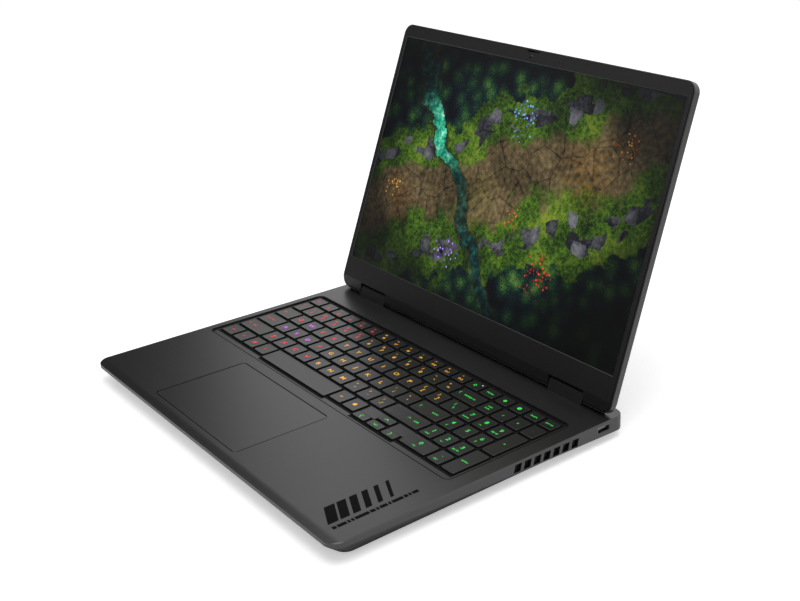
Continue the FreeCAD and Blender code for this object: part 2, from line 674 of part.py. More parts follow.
# Every key as (group, left, right, front, back) of its cell, in the order of the rows
def keyCells():
    cells = []
    left = size("dims.keyboard_shift - dims.keyboard_width / 2")
    mainEnd = left + size("dims.main_width")
    padPitch, keyPitch, rowPitch = size("dims.pad_pitch"), size("dims.key_pitch"), size("dims.row_pitch")
    back = size(keyboardBack)
    rows = [(back - size("dims.function_depth"), back)]
    for _ in range(5):
        rows.append((rows[-1][0] - rowPitch, rows[-1][0]))

    def wide(key):
        return keyPitch * size(f"dims.{key}_ratio")

    def run(row, x, widths):
        front, rear = rows[row]
        for name, width in widths:
            cells.append((name, x, x + width, front, rear))
            x += width
        return x

    def letters(row, first, lead, name, count, last):
        x = run(row, left, [(first, wide(lead))] + [(name, keyPitch)] * count)
        run(row, x, [(last, mainEnd - x)])

    x = run(0, left, [("function_row_keys", wide("escape"))] + [("function_row_keys", wide("function"))] * 12)
    x = run(0, x, [("power_key", wide("power"))])
    run(0, x, [("function_row_keys", mainEnd - x)])
    letters(1, "number_row_keys", "grave", "number_row_keys", 12, "backspace_key")
    letters(2, "tab_key", "tab", "upper_letter_keys", 12, "upper_letter_keys")
    letters(3, "caps_lock_key", "caps", "home_letter_keys", 11, "enter_key")
    letters(4, "left_shift_key", "shift", "lower_letter_keys", 10, "right_shift_key")
    x = run(5, left, [("modifier_keys", wide("control"))] + [("modifier_keys", keyPitch)] * 3)
    # The space bar and the arrows reach lower than their row
    front, rear = rows[5]
    low = front - size("dims.low_key_drop")
    space = wide("space")
    cells.append(("space_bar", x, x + space, low, rear))
    x = run(5, x + space, [("modifier_keys", keyPitch)] * 2)
    third, middle = (mainEnd - x) / 3, (low + rear) / 2
    for column in range(3):
        cells.append(("arrow_keys", x + column * third, x + (column + 1) * third, low, middle))
    cells.append(("arrow_keys", x + third, x + 2 * third, middle, rear))
    # Number pad, with two keys of double height and one of double width
    run(0, mainEnd, [("function_row_keys", padPitch)] * 4)
    run(1, mainEnd, [("numpad_keys", padPitch)] * 4)
    for row in (2, 3, 4):
        run(row, mainEnd, [("numpad_keys", padPitch)] * 3)
    run(5, mainEnd, [("numpad_keys", 2 * padPitch), ("numpad_keys", padPitch)])
    last = mainEnd + 3 * padPitch
    cells.append(("numpad_plus_key", last, last + padPitch, rows[3][0], rows[2][1]))
    cells.append(("numpad_enter_key", last, last + padPitch, rows[5][0], rows[4][1]))
    return cells


# Eight-cornered outline of a key, its corners cut at 45 degrees
def keyOutline(left, right, front, back, corner, level):
    points = [(left + corner, front), (right - corner, front), (right, front + corner), (right, back - corner),
              (right - corner, back), (left + corner, back), (left, back - corner), (left, front + corner)]
    return [Vector(x, y, level) for x, y in points]


# Key cap: flat top, flat underside and slightly leaning sides
def keyCap(left, right, front, back):
    inset, draft, corner = size("dims.key_gap / 2"), size("dims.key_draft"), size("dims.key_corner")
    top = size("dims.deck_height - dims.key_below_deck")
    under = top - size("dims.key_height")
    low = keyOutline(left + inset, right - inset, front + inset, back - inset, corner, under)
    inset += draft
    high = keyOutline(left + inset, right - inset, front + inset, back - inset, corner, top)
    faces = [Part.Face(Part.makePolygon(ring + ring[:1])) for ring in (low, high)]
    for k in range(8):
        corners = [low[k - 1], low[k], high[k], high[k - 1]]
        faces.append(Part.Face(Part.makePolygon(corners + corners[:1])))
    cap = Part.Solid(Part.Shell(faces))
    cap.fix(1e-6, 1e-6, 1e-6)
    return cap


def buildKeys(cells):
    for name in dict.fromkeys(cell[0] for cell in cells):
        keys = doc.addObject("Part::Feature", name)
        keys.Shape = Part.makeCompound([keyCap(*cell[1:]) for cell in cells if cell[0] == name])
        keys.Placement = Placement()
        finished(keys, name)


# Keyboard frame: the lattice between the keys, with a rim down to the plate below
def buildKeyboardFrame(cells):
    top, thick, depth = size(deckUnder), size("dims.frame_thickness"), size("dims.frame_depth")
    flange, rim = size("dims.frame_flange"), size("2 * dims.frame_flange")
    middleX, middleY = size("dims.keyboard_shift"), size(wellMiddle)
    width, height = size(wellWidth) + 2 * flange, size(wellDepth) + 2 * flange

    def slab(inset, low, tall):
        corner = Vector(middleX - width / 2 + inset, middleY - height / 2 + inset, low)
        return Part.makeBox(width - 2 * inset, height - 2 * inset, tall, corner)

    hole = size("dims.key_gap / 2 - dims.key_clearance")
    holes = []
    for _, left, right, front, back in cells:
        spot = Vector(left + hole, front + hole, top - 2 * thick)
        holes.append(Part.makeBox(right - left - 2 * hole, back - front - 2 * hole, 3 * thick, spot))
    shape = slab(0, top - depth, depth).cut(slab(rim, top - depth, depth - thick))
    frame = doc.addObject("Part::Feature", "keyboard_frame")
    frame.Shape = shape.cut(Part.makeCompound(holes))
    frame.Placement = Placement()
    finished(frame, "keyboard_frame")
    plate = box("keyboard_plate", f"dims.keyboard_shift - {wellWidth} / 2 - dims.frame_flange",
                f"{wellMiddle} - {wellDepth} / 2 - dims.frame_flange", plateUnder,
                f"{wellWidth} + 2 * dims.frame_flange", f"{wellDepth} + 2 * dims.frame_flange",
                "dims.plate_thickness")
    finished(plate, "keyboard_plate")


# Touchpad, hinged at its back edge above a tray that carries its switch
def buildTouchpad():
    pads = bodyNamed("touchpad")
    under = "dims.deck_height - dims.touchpad_sink - dims.touchpad_thickness"
    outline = sketchOn(pads, "touchpadOutline", "XY_Plane", "dims.touchpad_shift", touchpadMiddle, under)
    rectangle(outline, "dims.touchpad_width", "dims.touchpad_depth", "dims.touchpad_corner")
    pad(pads, outline, "dims.touchpad_thickness")
    finished(pads, "touchpad")
    tray = bodyNamed("touchpad_support")
    width = "(dims.touchpad_width + 2 * dims.support_flange)"
    depth = "(dims.touchpad_depth + 2 * dims.support_flange)"
    floor = f"({deckUnder} - dims.support_depth)"
    base = sketchOn(tray, "trayOutline", "XY_Plane", "dims.touchpad_shift", touchpadMiddle, floor)
    square(base, width, depth)
    pad(tray, base, "dims.support_depth")
    inside = sketchOn(tray, "trayInside", "XY_Plane", "dims.touchpad_shift", touchpadMiddle, deckUnder)
    square(inside, f"{width} - dims.support_flange", f"{depth} - dims.support_flange")
    pocket(tray, inside, "dims.support_depth - dims.support_floor")
    button = sketchOn(tray, "traySwitch", "XY_Plane", "dims.touchpad_shift",
                      f"{touchpadMiddle} - dims.touchpad_depth / 2 + 12", f"{floor} + dims.support_floor - 0.1")
    square(button, "6", "6")
    pad(tray, button, "0.6")
    finished(tray, "touchpad_support")
    doc.recompute()


# Lid cover: a tray with a thin rim, notched round the hinge towers
def buildLidCover():
    body = bodyNamed("lid_cover")
    outline = sketchOn(body, "lidOutline", "XY_Plane", "0", lidMiddle, "-dims.lid_behind")
    rectangle(outline, "dims.lid_width", lidHeight, "dims.lid_corner")
    block = pad(body, outline, "dims.lid_behind + dims.rim_ahead")
    bevel(body, block, "-dims.lid_behind", "dims.deck_edge")
    inside = sketchOn(body, "lidInside", "XY_Plane", "0", lidMiddle, "dims.rim_ahead")
    rectangle(inside, "dims.lid_width - 2 * dims.lid_rim", f"{lidHeight} - 2 * dims.lid_rim",
              "dims.lid_corner - dims.lid_rim")
    pocket(body, inside, "dims.rim_ahead + dims.lid_behind - dims.lid_wall")
    slopeChin(body, "lidChin", "dims.rim_ahead")
    cutNotches(body, "lidNotch", "dims.rim_ahead + 1")
    for side in ("", "-"):
        relief = sketchOn(body, "pinRelief", "XY_Plane",
                          f"{side}(dims.tower_from_middle - dims.tower_width / 2 - dims.leaf_length / 2)", "0",
                          "dims.lid_wall - dims.lid_behind")
        square(relief, "dims.leaf_length + 2", "4 * dims.pin_radius")
        pocket(body, relief, "dims.pin_radius + dims.lid_wall - dims.lid_behind + 0.2")
    doc.recompute()
    return finished(onLid(body), "lid_cover")


# Below a crease the chin leans back, so that its lower edge clears the deck as the lid swings
def slopeChin(body, name, ahead):
    sketch = sketchOn(body, name, "YZ_Plane")
    low = "-dims.lid_below - 1"
    polygon(sketch, [("dims.chin_crease", ahead), (low, f"{ahead} - dims.chin_slope"),
                     (low, f"{ahead} + 2"), ("dims.chin_crease", f"{ahead} + 2")])
    pocket(body, sketch, symmetric=True)


# A notch for each hinge tower, open at the lid's lower edge
def cutNotches(body, name, level):
    for side in ("", "-"):
        notch = sketchOn(body, name, "XY_Plane", f"{side}dims.tower_from_middle",
                         "dims.notch_above_hinge - 10", level)
        square(notch, "dims.tower_width + 2 * dims.notch_gap", "20")
        pocket(body, notch)


# Bezel: a frame round the screen with a recess behind it for the panel, and openings for the camera
def buildBezel():
    body = bodyNamed("display_bezel")
    back = "(dims.bezel_ahead - dims.bezel_thickness)"
    outline = sketchOn(body, "bezelOutline", "XY_Plane", "0", lidMiddle, back)
    rectangle(outline, f"dims.lid_width - 2 * {bezelInset}", f"{lidHeight} - 2 * {bezelInset}",
              f"dims.lid_corner - {bezelInset}")
    pad(body, outline, "dims.bezel_thickness")
    window = sketchOn(body, "bezelWindow", "XY_Plane", "0", screenMiddle, "dims.bezel_ahead")
    square(window, "dims.screen_width", "dims.screen_height")
    pocket(body, window)
    recess = sketchOn(body, "bezelRecess", "XY_Plane", "0", panelMiddle, back)
    square(recess, f"{panelWidth} + 0.2", f"{panelHeight} + 0.2")
    pocket(body, recess, f"dims.panel_ahead - {back}", along=True)
    slopeChin(body, "bezelChin", "dims.bezel_ahead")
    cutNotches(body, "bezelNotch", "dims.bezel_ahead + 1")
    eye = sketchOn(body, "cameraOpening", "XY_Plane", "0", cameraY, "dims.bezel_ahead")
    disc(eye, "dims.camera_hole")
    pocket(body, eye)
    slot = sketchOn(body, "shutterOpening", "XY_Plane", "dims.shutter_travel / 2 - dims.shutter_rest", shutterY,
                    "dims.bezel_ahead")
    square(slot, "dims.shutter_travel + dims.knob_width + 0.8", "dims.shutter_slot")
    pocket(body, slot)
    # Behind the bezel the camera and the blade of the shutter lie in a shallow pocket
    bay = sketchOn(body, "cameraBay", "XY_Plane", "0", f"{cameraY} + 1", back)
    square(bay, "dims.camera_width + 1", "dims.camera_height + 3.4")
    pocket(body, bay, "dims.bezel_thickness - 0.7", along=True)
    doc.recompute()
    return finished(onLid(body), "display_bezel")


# Display panel, seated in the recess behind the bezel
def buildPanel():
    body = bodyNamed("display_panel")
    outline = sketchOn(body, "panelOutline", "XY_Plane", "0", panelMiddle,
                       "dims.panel_ahead - dims.panel_thickness")
    square(outline, panelWidth, panelHeight)
    pad(body, outline, "dims.panel_thickness")
    doc.recompute()
    return finished(onLid(body), "display_panel")


# Rubber seal in the groove between the bezel and the cover's rim
def buildSeal():
    body = bodyNamed("bezel_seal")
    low = "(dims.bezel_ahead - dims.bezel_thickness)"
    for name, inset, cutter in (("sealOutside", "dims.lid_rim", False), ("sealInside", bezelInset, True)):
        ring = sketchOn(body, name, "XY_Plane", "0", lidMiddle, "dims.rim_ahead - 0.3" if cutter else low)
        rectangle(ring, f"dims.lid_width - 2 * {inset}", f"{lidHeight} - 2 * {inset}",
                  f"dims.lid_corner - {inset}")
        if cutter:
            pocket(body, ring)
        else:
            pad(body, ring, f"dims.rim_ahead - 0.3 - {low}")
    slopeChin(body, "sealChin", "(dims.rim_ahead - 0.3)")
    cutNotches(body, "sealNotch", "dims.rim_ahead + 1")
    doc.recompute()
    return finished(onLid(body), "bezel_seal")


# Camera board with its lens, behind the bezel
def buildCamera():
    low = "(dims.lid_wall - dims.lid_behind)"
    board = box("cameraBoard", "-dims.camera_width / 2", f"{cameraY} - dims.camera_height / 2 + 0.2", low,
                "dims.camera_width", "dims.camera_height - 0.4", f"2.2 - {low}")
    lens = rod("cameraLens", "0", cameraY, "2", "dims.camera_hole - 0.5", "0.9")
    return finished(onLid(fuse("cameraModule", [board, lens])), "camera_module")


# Privacy shutter: a thin blade behind the bezel with a knob that comes through the slot
def buildShutter():
    level = "(dims.bezel_ahead - 1.4)"
    knob = box("shutterKnob", "-dims.shutter_rest - dims.knob_width / 2",
               f"{shutterY} - dims.shutter_slot / 2 + 0.3", level,
               "dims.knob_width", "dims.shutter_slot - 0.6", f"dims.bezel_ahead + 0.15 - {level}")
    blade = box("shutterBlade", "-dims.shutter_travel - dims.blade_width / 2", f"{cameraY} - 2.6", level,
                "dims.blade_width", f"{shutterY} - {cameraY} + 3.1 - 0.6", "dims.blade_thickness")
    arm = box("shutterArm", "-dims.shutter_travel", f"{shutterY} - 0.5", level,
              "dims.shutter_travel - dims.shutter_rest + dims.knob_width / 2", "0.8", "dims.blade_thickness")
    return finished(onLid(fuse("privacyShutter", [knob, blade, arm])), "privacy_shutter")


# Hinge tower: its front follows the open screen, its top is round about the hinge axis
def buildTowers():
    body = bodyNamed("hinge_tower_right")
    side = sketchOn(body, "towerSide", "YZ_Plane", hingeY, hingeZ, "dims.tower_from_middle")
    tilt = math.radians(180 - size("dims.open_angle"))
    up, out = Vector(math.cos(tilt), math.sin(tilt), 0), Vector(-math.sin(tilt), math.cos(tilt), 0)
    r, face, rise = size("dims.tower_radius"), size("dims.tower_front"), size("dims.hinge_rise")
    high = up * math.sqrt(r * r - face * face) + out * face
    foot = high - up * ((high.y + rise) / up.y)
    circle = Part.Circle(Vector(), Vector(0, 0, 1), r)
    arc = side.addGeometry(Part.ArcOfCircle(circle, 0, math.atan2(high.y, high.x)))
    back = side.addGeometry(Part.LineSegment(Vector(r, -rise, 0), Vector(r, 0, 0)))
    floor = side.addGeometry(Part.LineSegment(foot, Vector(r, -rise, 0)))
    front = side.addGeometry(Part.LineSegment(foot, high))
    tie(side, "Coincident", arc, 3, -1, 1)
    measure(side, "Radius", (arc,), "dims.tower_radius")
    tie(side, "Tangent", back, 2, arc, 1)
    tie(side, "Vertical", back)
    tie(side, "Coincident", arc, 2, front, 2)
    tie(side, "Coincident", front, 1, floor, 1)
    tie(side, "Coincident", floor, 2, back, 1)
    tie(side, "Horizontal", floor)
    measure(side, "DistanceY", (floor, 2, -1, 1), "dims.hinge_rise")
    measure(side, "Distance", (-1, 1, front), "dims.tower_front")
    tie(side, "Angle", front, tilt)
    side.setExpression("Constraints[" + str(side.ConstraintCount - 1) + "]", "180 - dims.open_angle")
    pad(body, side, "dims.tower_width", symmetric=True)
    bore = sketchOn(body, "towerBore", "YZ_Plane", hingeY, hingeZ,
                    "dims.tower_from_middle - dims.tower_width / 2")
    disc(bore, "dims.barrel_radius + dims.barrel_gap")
    pocket(body, bore, "dims.barrel_length + 2", along=True)
    slot = sketchOn(body, "towerSlot", "XY_Plane", "dims.tower_from_middle", hingeY, "dims.deck_height")
    square(slot, "dims.barrel_length / 2 + 1", "2 * dims.bracket_plate + 0.6")
    pocket(body, slot, "dims.hinge_rise", along=True)
    doc.recompute()
    finished(body, "hinge_tower_right")
    finished(mirrored(body, "towerLeft"), "hinge_tower_left")


# Hinge bracket: a barrel in the tower on a leg that goes through the deck to a plate below it
def buildBrackets():
    inner = "(dims.tower_from_middle - dims.tower_width / 2)"
    barrel = rod("barrel", inner, hingeY, hingeZ, "dims.barrel_radius", "dims.barrel_length", "X")
    leg = box("bracketLeg", "dims.tower_from_middle - dims.barrel_length / 4", f"{hingeY} - dims.bracket_plate",
              f"{deckUnder} - dims.bracket_plate", "dims.barrel_length / 2", "2 * dims.bracket_plate",
              "dims.hinge_rise + dims.deck_thickness + dims.bracket_plate")
    plate = box("bracketPlate", "dims.tower_from_middle - dims.barrel_length / 2", f"{hingeY} - 7",
                f"{deckUnder} - dims.bracket_plate", "dims.barrel_length", "15", "dims.bracket_plate")
    bore = rod("barrelBore", f"{inner} - 1", hingeY, hingeZ, "dims.pin_radius + dims.pin_clearance",
               "dims.barrel_length - 2", "X")
    bracket = cut("bracketRight", fuse("bracketSolid", [barrel, leg, plate]), bore)
    finished(group("bracketPair", [bracket, mirrored(bracket, "bracketLeft")]), "hinge_brackets")


# Hinge leaf: a plate on the inside of the lid cover and a pin that turns in the barrel
def buildLeaves():
    end = "(dims.tower_from_middle - dims.tower_width / 2 - dims.notch_gap - 1)"
    low = "(dims.lid_wall - dims.lid_behind)"
    plate = box("leafPlate", f"{end} - dims.leaf_length", "-1", low,
                "dims.leaf_length", "dims.leaf_height", "dims.leaf_thickness")
    pin = rod("leafPin", f"{end} - dims.leaf_length / 2", "0", "0", "dims.pin_radius",
              "dims.leaf_length / 2 + dims.notch_gap + dims.barrel_length - 6", "X")
    leaf = onLid(fuse("leafRight", [plate, pin]))
    finished(group("leafPair", [leaf, mirrored(leaf, "leafLeft")]), "hinge_leaves")


# Fan: a flat housing that draws air from below and blows it to the side and the rear
def buildFans():
    x, y = "dims.fan_from_middle", f"{rearEdge} - dims.fan_from_rear"
    housing = bodyNamed("fanHousingRight")
    across = "(2 * dims.fan_radius + 2 * dims.fan_wall)"
    shell = sketchOn(housing, "fanOutline", "XY_Plane")
    square(shell, across, across)
    pad(housing, shell, "dims.fan_height")
    room = sketchOn(housing, "fanRoom", "XY_Plane", "0", "0", "dims.fan_height - dims.fan_sheet")
    disc(room, "dims.fan_radius")
    pocket(housing, room)
    tall = "dims.fan_height - 2 * dims.fan_sheet"
    side = sketchOn(housing, "fanSideOutlet", "YZ_Plane", "0", "dims.fan_height / 2")
    square(side, "1.5 * dims.fan_radius", tall)
    pocket(housing, side, f"{across}", along=True)
    rear = sketchOn(housing, "fanRearOutlet", "XZ_Plane", "0", "dims.fan_height / 2")
    square(rear, "1.5 * dims.fan_radius", tall)
    pocket(housing, rear, f"{across}")
    shaft = sketchOn(housing, "fanShaft", "XY_Plane", "0", "0", "1.5")
    disc(shaft, "dims.shaft_radius")
    pad(housing, shaft, "dims.fan_height - dims.fan_sheet - 1.4")
    bind(housing, Placement_Base_x=x, Placement_Base_y=y, Placement_Base_z=f"{plateUnder} - dims.fan_height")
    doc.recompute()
    finished(group("fanHousingPair", [housing, mirrored(housing, "fanHousingLeft")]), "fan_housings")

    wheel = bodyNamed("fan_impeller_right")
    deep = "(dims.fan_height - 2 * dims.fan_sheet - 0.9)"
    hub = sketchOn(wheel, "hubOutline", "XY_Plane")
    disc(hub, "dims.hub_radius")
    pad(wheel, hub, deep)
    blade = sketchOn(wheel, "bladeOutline", "XY_Plane")
    tip = "(dims.fan_radius - 1.5)"
    root = "dims.hub_radius - 1"
    polygon(blade, [(root, "-0.4"), (tip, "6.6"), (f"{tip} - 0.4", "7.3"), (root, "0.4")])
    vane = pad(wheel, blade, deep)
    ring = wheel.newObject("PartDesign::PolarPattern", "bladeRing")
    ring.Originals = [vane]
    ring.Axis = (hub, ["N_Axis"])
    ring.Angle = 360
    ring.setExpression("Occurrences", "dims.blade_count")
    wheel.Tip = ring
    bore = sketchOn(wheel, "hubBore", "XY_Plane", "0", "0", deep)
    disc(bore, "dims.shaft_radius + dims.shaft_clearance")
    pocket(wheel, bore)
    bind(wheel, Placement_Base_x=x, Placement_Base_y=y,
         Placement_Base_z=f"{plateUnder} - dims.fan_height + dims.fan_sheet + 0.4")
    doc.recompute()
    finished(wheel, "fan_impeller_right")
    finished(mirrored(wheel, "fanImpellerLeft"), "fan_impeller_left")


# A block of thin cooling fins between two sheets, open from end to end along one axis
def finBlock(name, x, y, z, length, depth, height, count, plane):
    body = bodyNamed(name)
    outline = sketchOn(body, name + "Outline", "XY_Plane", x, y, z)
    square(outline, length, depth)
    pad(body, outline, height)
    run, across = (length, x) if plane == "XZ_Plane" else (depth, y)
    first = f"{across} - ({count} - 1) * dims.fin_pitch / 2"
    slot = sketchOn(body, name + "Slot", plane, first, f"{z} + {height} / 2")
    square(slot, "dims.fin_gap", f"{height} - 0.8")
    repeat(body, pocket(body, slot, symmetric=True), slot, "H_Axis", "dims.fin_pitch", count)
    doc.recompute()
    return body


def buildFins():
    middle = f"({rearEdge} - dims.vent_from_rear + (dims.vent_count - 1) * dims.vent_pitch / 2)"
    run, level = "(dims.fin_count * dims.fin_pitch + 0.6)", f"({deckUnder} - dims.fin_height)"
    stacks = []
    for name, sign, depth in (("rightFins", "", "dims.fin_depth"), ("leftFins", "-", "dims.left_fin_depth")):
        stacks.append(finBlock(name, f"({sign}({wallInside} - 0.5 - {depth} / 2))", middle, level, depth, run,
                               "dims.fin_height", "dims.fin_count", "YZ_Plane"))
    finished(group("sideFinPair", stacks), "side_fin_stacks")
    across = "(dims.rear_vent_start + (dims.rear_vent_count - 1) * dims.rear_vent_pitch / 2)"
    back = f"({rearEdge} - dims.case_wall - 0.5 - dims.rear_fin_depth / 2)"
    run = "(dims.rear_fin_count * dims.fin_pitch + 0.6)"
    rear = finBlock("rearFins", across, back, pipeTop, run, "dims.rear_fin_depth", "dims.rear_fin_height",
                    "dims.rear_fin_count", "XZ_Plane")
    finished(group("rearFinPair", [rear, mirrored(rear, "rearFinsLeft")]), "rear_fin_stacks")


# Path of straight runs joined by arcs of one radius
def bentPath(points, radius):
    edges, start = [], points[0]
    for before, corner, after in zip(points, points[1:], points[2:]):
        arrive, leave = (corner - before).normalize(), (after - corner).normalize()
        half = arrive.getAngle(leave) / 2
        first = corner - arrive * radius * math.tan(half)
        last = corner + leave * radius * math.tan(half)
        bulge = corner + (leave - arrive).normalize() * (radius / math.cos(half) - radius)
        edges += [Part.makeLine(start, first), Part.Arc(first, bulge, last).toShape()]
        start = last
    return Part.Wire(edges + [Part.makeLine(start, points[-1])])


# Flat heat pipe from one rear fin stack, past the processors, to the other
def buildHeatPipes():
    wide, thick = size("dims.pipe_width"), size("dims.pipe_thickness")
    level = size(pipeTop) - thick / 2
    rear = size(f"{rearEdge} - dims.case_wall - 0.5 - dims.rear_fin_depth / 2")
    middle = size(f"{boardMiddle} + dims.chip_back")
    outer = size("dims.rear_vent_start + dims.rear_vent_count * dims.rear_vent_pitch")
    inner = size("dims.fan_from_middle - dims.fan_radius - dims.fan_wall - dims.pipe_bend")
    chip = size("dims.board_width / 3")
    right = [Vector(chip, middle, level), Vector(inner, rear, level), Vector(outer, rear, level)]
    points = [Vector(-p.x, p.y, p.z) for p in reversed(right)] + right
    path = bentPath(points, size("dims.pipe_bend"))
    start = points[0]
    spots = [(-wide / 2, -thick / 2), (wide / 2, -thick / 2), (wide / 2, thick / 2), (-wide / 2, thick / 2)]
    ring = [start + Vector(0, y, z) for y, z in spots]
    profile = Part.makePolygon(ring + ring[:1])
    pipe = doc.addObject("Part::Feature", "heat_pipes")
    pipe.Shape = Part.Wire(path).makePipeShell([profile], True, False)
    pipe.Placement = Placement()
    return finished(pipe, "heat_pipes")


# Main board on standoffs below the keyboard plate, two processors on its underside
def buildBoard():
    under = boardUnder
    board = box("boardPlate", "-dims.board_width / 2", f"{boardMiddle} - dims.board_depth / 2", under,
                "dims.board_width", "dims.board_depth", "dims.board_thickness")
    pieces = [board]
    for number, (i, j) in enumerate(((-1, -1), (1, -1), (-1, 1), (1, 1), (0, -1), (0, 1))):
        pieces.append(box(f"standoff{number}", f"{i} * (dims.board_width / 2 - 6) - 2.5",
                          f"{boardMiddle} + {j} * (dims.board_depth / 2 - 6) - 2.5",
                          f"{under} + dims.board_thickness", "5", "5", "dims.board_standoff"))
    for number, side in enumerate(("-", "")):
        pieces.append(box(f"processor{number}", f"{side}dims.board_width / 5 - dims.chip_width / 2",
                          f"{boardMiddle} + dims.chip_back - dims.chip_depth / 2",
                          f"{under} - dims.chip_height", "dims.chip_width", "dims.chip_depth", "dims.chip_height"))
    finished(fuse("mainboardSolid", pieces), "mainboard")
    low = f"({boardMiddle} - dims.board_depth / 2)"
    left = "dims.stick_margin - dims.board_width / 2"
    sticks = []
    for n in range(2):
        front = f"{low} + dims.stick_margin / 2 + {n} * dims.memory_pitch"
        sticks.append(box(f"memory{n}", left, front, f"{under} - dims.memory_thickness",
                          "dims.memory_length", "dims.memory_depth", "dims.memory_thickness"))
    finished(group("memoryPair", sticks), "memory_modules")
    right = "dims.board_width / 2 - dims.stick_margin"
    drive = box("driveStick", f"{right} - dims.drive_length", f"{low} + dims.stick_margin / 2",
                f"{under} - dims.drive_thickness",
                "dims.drive_length", "dims.drive_depth", "dims.drive_thickness")
    finished(drive, "ssd")
    card = box("wirelessCard", f"{right} - dims.card_length", f"{low} + dims.stick_margin + dims.drive_depth",
               f"{under} - dims.card_thickness", "dims.card_length", "dims.drive_depth", "dims.card_thickness")
    finished(card, "wifi_card")


# Battery and speakers stand on the floor of the bottom cover
def buildFloorPieces():
    front = f"({frontEdge} + dims.cover_front_taper + 10)"
    battery = box("batteryBlock", "-dims.battery_width / 2", front, floorTop,
                  "dims.battery_width", "dims.battery_depth", "dims.battery_height")
    finished(battery, "battery")
    speaker = box("speakerRight", "dims.battery_width / 2 + 4", f"{front} + 12", floorTop,
                  "dims.speaker_width", "dims.speaker_depth", "dims.speaker_height")
    finished(speaker, "speaker_right")
    finished(mirrored(speaker, "speakerLeft"), "speaker_left")


# Socket: a metal shell with a tongue inside, its mouth level with the outer wall
def socket(name, side, along, level, width, height, tongue):
    deep, wall = "dims.socket_length", "dims.socket_wall"

    def block(part, start, length, across, tall):
        if side == "rear":
            return box(name + part, f"{along} - ({across}) / 2", f"{rearEdge} - ({start}) - ({length})",
                       f"{level} - ({tall}) / 2", across, length, tall)
        x = f"{wallFace} - ({start}) - ({length})" if side == "right" else f"-{wallFace} + ({start})"
        return box(name + part, x, f"{along} - ({across}) / 2", f"{level} - ({tall}) / 2", length, across, tall)

    shell = block("Shell", "0.2", deep, width, height)
    room = block("Room", "-1", f"{deep} - 1", f"{width} - 2 * {wall}", f"{height} - 2 * {wall}")
    opened = cut(name + "Open", shell, room)
    if tongue is None:
        return opened
    return fuse(name + "Solid", [opened, block("Tongue", "2.5", f"{deep} - 3", f"{width} * 0.72", tongue)])


def buildSockets():
    level = "(dims.deck_height - dims.usb_below_deck)"
    rear = "(dims.deck_height - dims.rear_socket_below_deck)"
    for label, side, along in (("usb_port_right", "right", f"({rearEdge} - dims.usb_from_rear)"),
                               ("usb_port_left", "left", f"({rearEdge} - dims.left_usb_from_rear)")):
        finished(socket(label, side, along, level, "dims.usb_width", "dims.usb_height", "1.7"), label)
    network = socket("network", "left", f"({rearEdge} - dims.network_from_rear)",
                     "(dims.deck_height - dims.network_below_deck)",
                     "dims.network_width", "dims.network_height", None)
    finished(network, "ethernet_port")
    video = socket("video", "rear", "dims.video_from_middle", rear, "dims.video_width", "dims.video_height", "1.6")
    finished(video, "hdmi_port")
    pair = [socket(f"usbC{n}", "rear", f"({n} - 0.5) * dims.usb_c_pitch", rear, "dims.usb_c_width",
                   "dims.usb_c_height", "0.8") for n in range(2)]
    finished(group("usbCPair", pair), "usb_c_ports")
    finished(socket("power", "rear", "(-dims.power_from_middle)", rear, "dims.power_width_outer",
                    "dims.power_height_outer", "1.2"), "power_inlet")
    jackY, jackZ = f"{rearEdge} - dims.jack_from_rear", "dims.deck_height - dims.jack_below_deck"
    deep = "dims.socket_length"
    barrel = rod("jackBarrel", f"-{wallFace} + 0.2", jackY, jackZ, "dims.jack_radius", deep, "X")
    bore = rod("jackBore", f"-{wallFace} - 1", jackY, jackZ, "dims.jack_bore", deep, "X")
    finished(cut("jackSolid", barrel, bore), "audio_jack")


keys = keyCells()
buildTopCase()
buildKeyboardFrame(keys)
buildKeys(keys)
buildTouchpad()
buildBottomCover()
buildFeet()
buildLidCover()
buildBezel()
buildSeal()
buildPanel()
buildCamera()
buildShutter()
buildTowers()
buildBrackets()
buildLeaves()
buildFans()
buildFins()
buildHeatPipes()
buildBoard()
buildFloorPieces()
buildSockets()
doc.recompute()

faults = [o.Label for o in doc.Objects if "Invalid" in o.State or "Error" in o.State]
faults += [n.Label for n in nodes if n.Shape.isNull() or not n.Shape.isValid() or not n.Shape.Solids]
if faults:
    raise SystemExit("not built: " + ", ".join(faults))
os.makedirs("parts", exist_ok=True)
for piece in nodes:
    piece.Shape.exportStep("parts/" + piece.Label + ".step")
print(len(nodes), "pieces written")
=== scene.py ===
import bpy
import json
import math
import numpy as np
from mathutils import Matrix, Vector


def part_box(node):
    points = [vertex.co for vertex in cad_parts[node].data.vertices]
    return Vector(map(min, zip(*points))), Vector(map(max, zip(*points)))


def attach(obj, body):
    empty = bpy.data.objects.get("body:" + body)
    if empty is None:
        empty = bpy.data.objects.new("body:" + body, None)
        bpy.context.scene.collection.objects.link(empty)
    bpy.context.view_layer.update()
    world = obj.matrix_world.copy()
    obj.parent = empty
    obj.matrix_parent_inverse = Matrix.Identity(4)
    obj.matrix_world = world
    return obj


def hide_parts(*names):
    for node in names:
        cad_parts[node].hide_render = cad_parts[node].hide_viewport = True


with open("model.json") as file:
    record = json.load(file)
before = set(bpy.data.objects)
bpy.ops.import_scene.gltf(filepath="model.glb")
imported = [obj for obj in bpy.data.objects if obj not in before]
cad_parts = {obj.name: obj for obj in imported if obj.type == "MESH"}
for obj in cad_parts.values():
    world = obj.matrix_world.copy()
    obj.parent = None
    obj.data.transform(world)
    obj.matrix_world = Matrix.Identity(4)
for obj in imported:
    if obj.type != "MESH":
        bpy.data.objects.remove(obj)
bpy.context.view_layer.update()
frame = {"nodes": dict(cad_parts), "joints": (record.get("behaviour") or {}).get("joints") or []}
mm = 0.001
nodes = frame["nodes"]
joints = {j["name"]: j for j in frame["joints"]}
